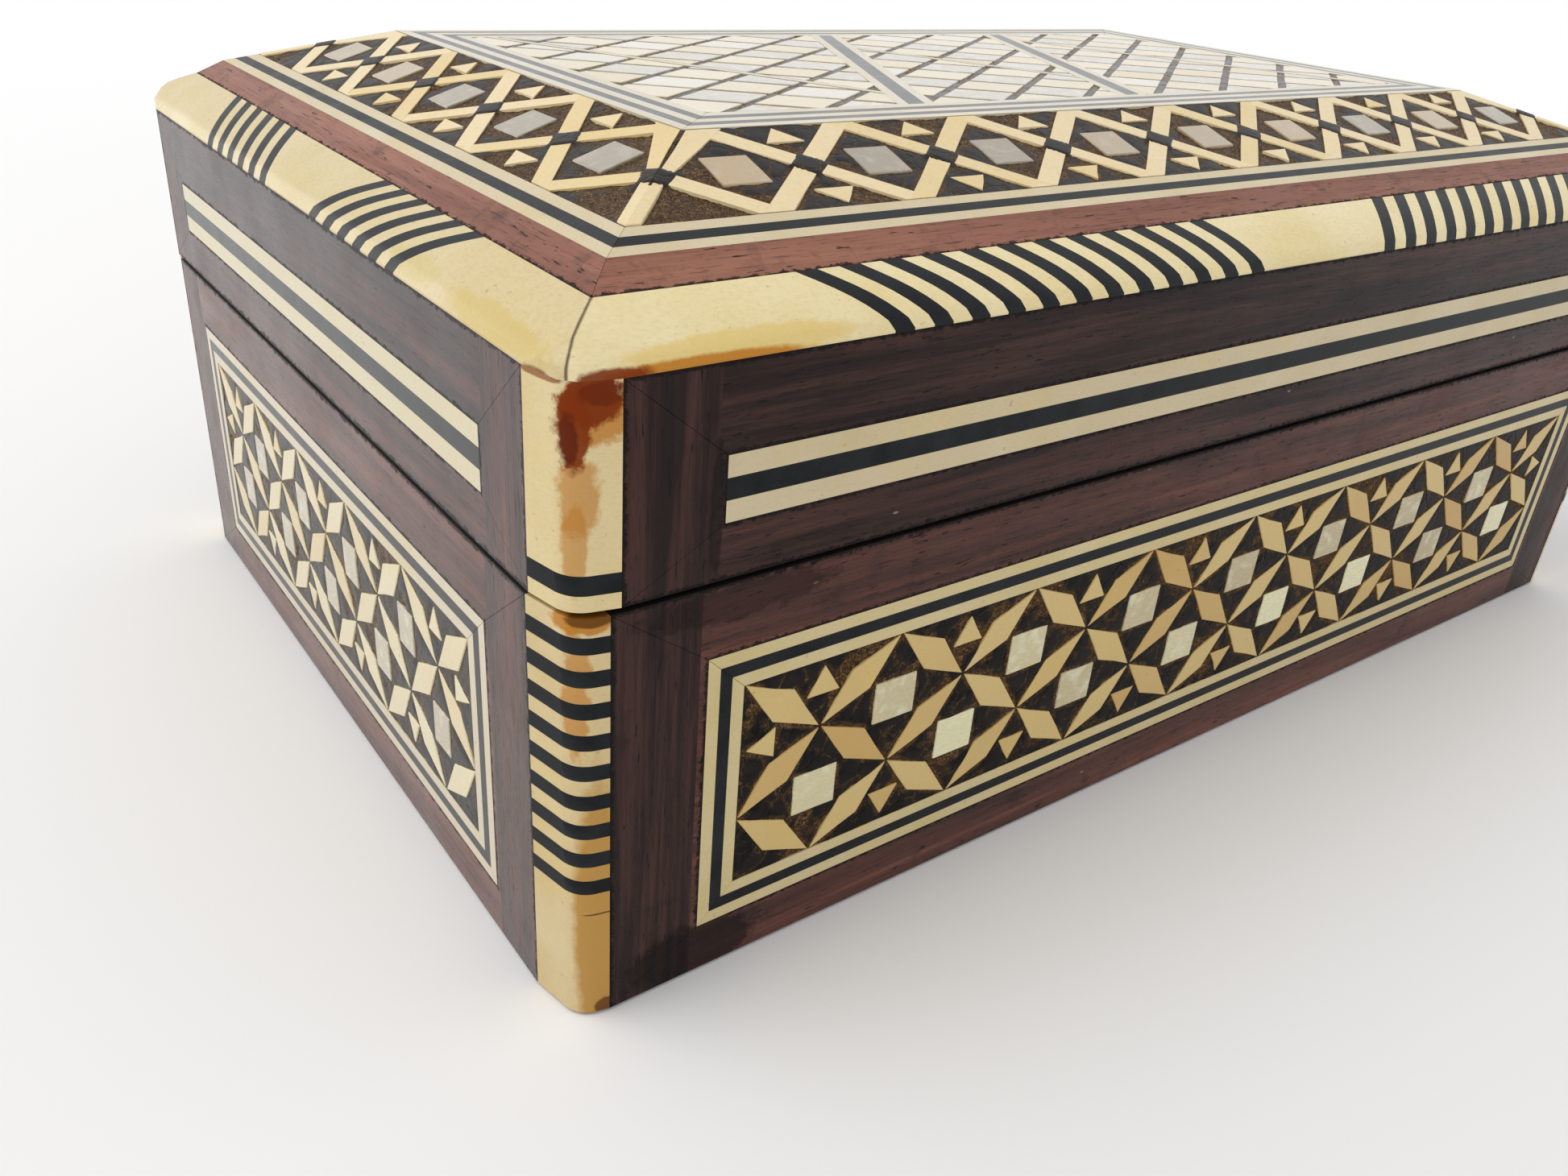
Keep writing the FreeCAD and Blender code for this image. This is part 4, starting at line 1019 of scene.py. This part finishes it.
# Tesserae
lattice = [hand_cut("base_pearl_mosaic", "lattice_pearl", "base", "pearl", BASE_PEARL)]
for side, kind in KIND.items():
    # The short sides take the lattice bone painted paler as a sheen.
    finish = LATTICE_BONE if kind == "long" else SHEEN_SIDE_LATTICE_BONE
    lattice.append(hand_cut(
        "base_%s_bone_mosaic" % side, "lattice_bone_%s" % side, "base", "bone", finish))
bevel_work = [
    hand_cut("lid_band_bone_mosaic", "bevel_bone", "lid", "bone", BAND_BONE, even_mitre_bar),
    hand_cut("lid_band_pearl_mosaic", "bevel_pearl", "lid", "pearl", BAND_PEARL),
]
top_work = [
    hand_cut("lid_panel_bone_mosaic", "top_bone", "lid", "bone", PANEL_BONE),
    hand_cut("lid_panel_pearl_mosaic", "top_pearl", "lid", "pearl", PANEL_PEARL),
]

# Posts and edging
rounded_edging("lid_edge_bone", "edging_bone", "bone", EDGE_BONE)
rounded_edging("lid_edge_black", "edging_black", "black_inlay", BLACK)
rounded_posts("base_corner_bone", "base_posts_bone", "base", "bone", BASE_POST_BONE)
rounded_posts("base_corner_black", "base_posts_black", "base", "black_inlay", BLACK)
rounded_posts("lid_corner_bone", "lid_posts_bone", "lid", "bone", LID_POST_BONE)
rounded_posts("lid_corner_black", "lid_posts_black", "lid", "black_inlay", BLACK)

outer_mitre_bars("bevel_mitre_bars", BAND_BONE)

# Filler, with the patches where it has worn away
BASE_WORN = {
    "front": [
        (-57, 7, 7), (-50, 8, 6), (-41, 7, 6), (-56, -2, 5), (-47, -7, 4), (-30, 8, 4),
        (12, -6, 5)],
    "left": [(34, 7, 6), (35, 1, 5), (34, -7, 6), (18, 8, 6), (-12, -5, 6)],
}
BAND_WORN = {
    "front": [(-54, -5, 8), (-42, -5, 6), (-24, -5, 5)],
    "left": [(36, -5, 6), (20, -5, 5)],
}
lattice_rims, bevel_rims, top_rims = outlines(lattice), outlines(bevel_work), outlines(top_work)
for side, kind in KIND.items():
    length = 2 * (BASE_PANEL[kind][0] - STRINGING_WIDTH)
    place = side_place(side, (FIELD_LOW + FIELD_HIGH) / 2)
    filler_sheet(
        "filler_base_%s" % side, length, FIELD_HIGH - FIELD_LOW, BASE_GRID, "base",
        "base_mosaic_ground", place, lattice_rims, MASTIC if kind == "long" else SIDE_MASTIC,
        BASE_HOLD, BASE_WORN.get(side, ()))
for side, kind in KIND.items():
    half, cells, step = HALF[kind], BAND_CELLS[kind], band_step(kind)
    lean = math.cos(BAND_TILT)
    reach = SQUARE_HALF * math.hypot(step, BAND_HALF)
    squares = [
        ((2 * k - cells) * step, reach / BAND_HALF, reach / step / lean) for k in range(cells + 1)]
    trim = [((sign * (half - BAND_MIDDLE), 0, 0), (sign, lean, 0)) for sign in (-1, 1)]
    filler_sheet(
        "filler_bevel_%s" % side, 2 * (half - BAND_IN), 2 * BAND_HALF / lean, BAND_GRID, "lid",
        "lid_band_ground", band_place(side), bevel_rims, BEVEL_MASTIC, BAND_HOLD,
        BAND_WORN.get(side, ()), trim, squares)
filler_sheet(
    "filler_top", 2 * (HALF_LENGTH - PANEL_IN), 2 * (HALF_DEPTH - PANEL_IN), TOP_GRID, "lid",
    "lid_panel_ground", Matrix.Translation((0, 0, LID_TOP * MM)), top_rims, TOP_MASTIC, TOP_HOLD)

# Linings
floor_low, floor_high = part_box("base_floor_lining")
lining("velvet_floor", [(floor_low, floor_high, (0, 0, 1))], "base", "base_floor_lining")
lining("velvet_base_walls", wall_panels("base_wall_lining"), "base", "base_wall_lining")
roof_low, roof_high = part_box("lid_ceiling_lining")
lining("velvet_lid_ceiling", [(roof_low, roof_high, (0, 0, -1))], "lid", "lid_ceiling_lining")
lining("velvet_lid_walls", wall_panels("lid_wall_lining"), "lid", "lid_wall_lining")


# Studio

def add_camera():
    """The camera as the photograph was taken: close, from the left and a little above."""
    data = bpy.data.cameras.new("camera")
    data.sensor_fit = "HORIZONTAL"
    data.sensor_width = 36.0
    data.lens = 29.59
    data.clip_start = 0.005
    camera = bpy.data.objects.new("camera", data)
    bpy.context.scene.collection.objects.link(camera)
    right = Vector((0.81082819, -0.58134379, 0.06780148))
    down = Vector((-0.23411721, -0.42832471, -0.87276977))
    forward = Vector((0.53642033, 0.69179284, -0.48340034))
    eye = Vector((-106.60, -112.45, 78.13)) * MM
    camera.matrix_world = axes(right, -down, -forward, eye)
    bpy.context.scene.camera = camera


def add_floor():
    """A pale table that fades to white away from the box."""
    bpy.ops.object.select_all(action="DESELECT")
    bpy.ops.mesh.primitive_plane_add(size=8)
    floor = bpy.context.object
    floor.name = "floor"
    made = bpy.data.materials.new("pale_table")
    made.use_nodes = True
    s = Shades(made.node_tree)
    shader = made.node_tree.nodes["Principled BSDF"]
    shader.inputs["Base Color"].default_value = (0.87, 0.862, 0.856, 1)
    shader.inputs["Roughness"].default_value = 0.7
    place = s.add("TexCoord").outputs["Object"]
    reach = {0: s.vector("LENGTH", {0: place})["Value"], 1: 0.11, 2: 0.46}
    fade = s.add("MapRange", reach, interpolation_type="SMOOTHSTEP").outputs[0]
    far = s.calc("MULTIPLY", fade, seen_by_eye(s))
    white = s.add("Emission", {"Color": (1, 1, 1, 1), "Strength": 1.0}).outputs[0]
    mixed = s.add("MixShader", {0: far, 1: shader.outputs[0], 2: white}).outputs[0]
    s.feed(made.node_tree.nodes["Material Output"].inputs["Surface"], mixed)
    floor.data.materials.append(made)


def add_light(name, place, aim, size, power):
    """A soft round lamp at a place, turned to its aim."""
    data = bpy.data.lights.new(name, "AREA")
    data.shape = "DISK"
    data.size = size
    data.energy = power
    lamp = bpy.data.objects.new(name, data)
    lamp.visible_camera = False
    lamp.location = place
    lamp.rotation_mode = "QUATERNION"
    lamp.rotation_quaternion = (Vector(aim) - Vector(place)).to_track_quat("-Z", "Y")
    bpy.context.scene.collection.objects.link(lamp)


def seen_by_eye(s):
    """1 for rays from the camera, or from it by way of a gloss."""
    path = s.add("LightPath").outputs
    mirrored = s.calc("MAXIMUM", path["Is Glossy Ray"], path["Is Transmission Ray"])
    return s.calc("MAXIMUM", path["Is Camera Ray"], mirrored)


def add_world():
    """A white room: white where the camera or a gloss sees it, dimmer as light."""
    world = bpy.data.worlds.new("white_room")
    bpy.context.scene.world = world
    world.use_nodes = True
    s = Shades(world.node_tree)
    ground = world.node_tree.nodes["Background"]
    s.feed(ground.inputs["Strength"], s.span(seen_by_eye(s), 0.0, 1.0, 0.80, 1.0))
    ground.inputs["Color"].default_value = (1.0, 1.0, 1.0, 1)


add_camera()
add_floor()
add_light("key", (-0.55, 0.20, 0.90), (0, 0, 0.03), 0.7, 3.8)
add_light("side", (-0.52, 0.95, 0.20), (0, 0, 0.03), 0.5, 0.9)
add_world()
bpy.context.scene.view_settings.view_transform = "Standard"
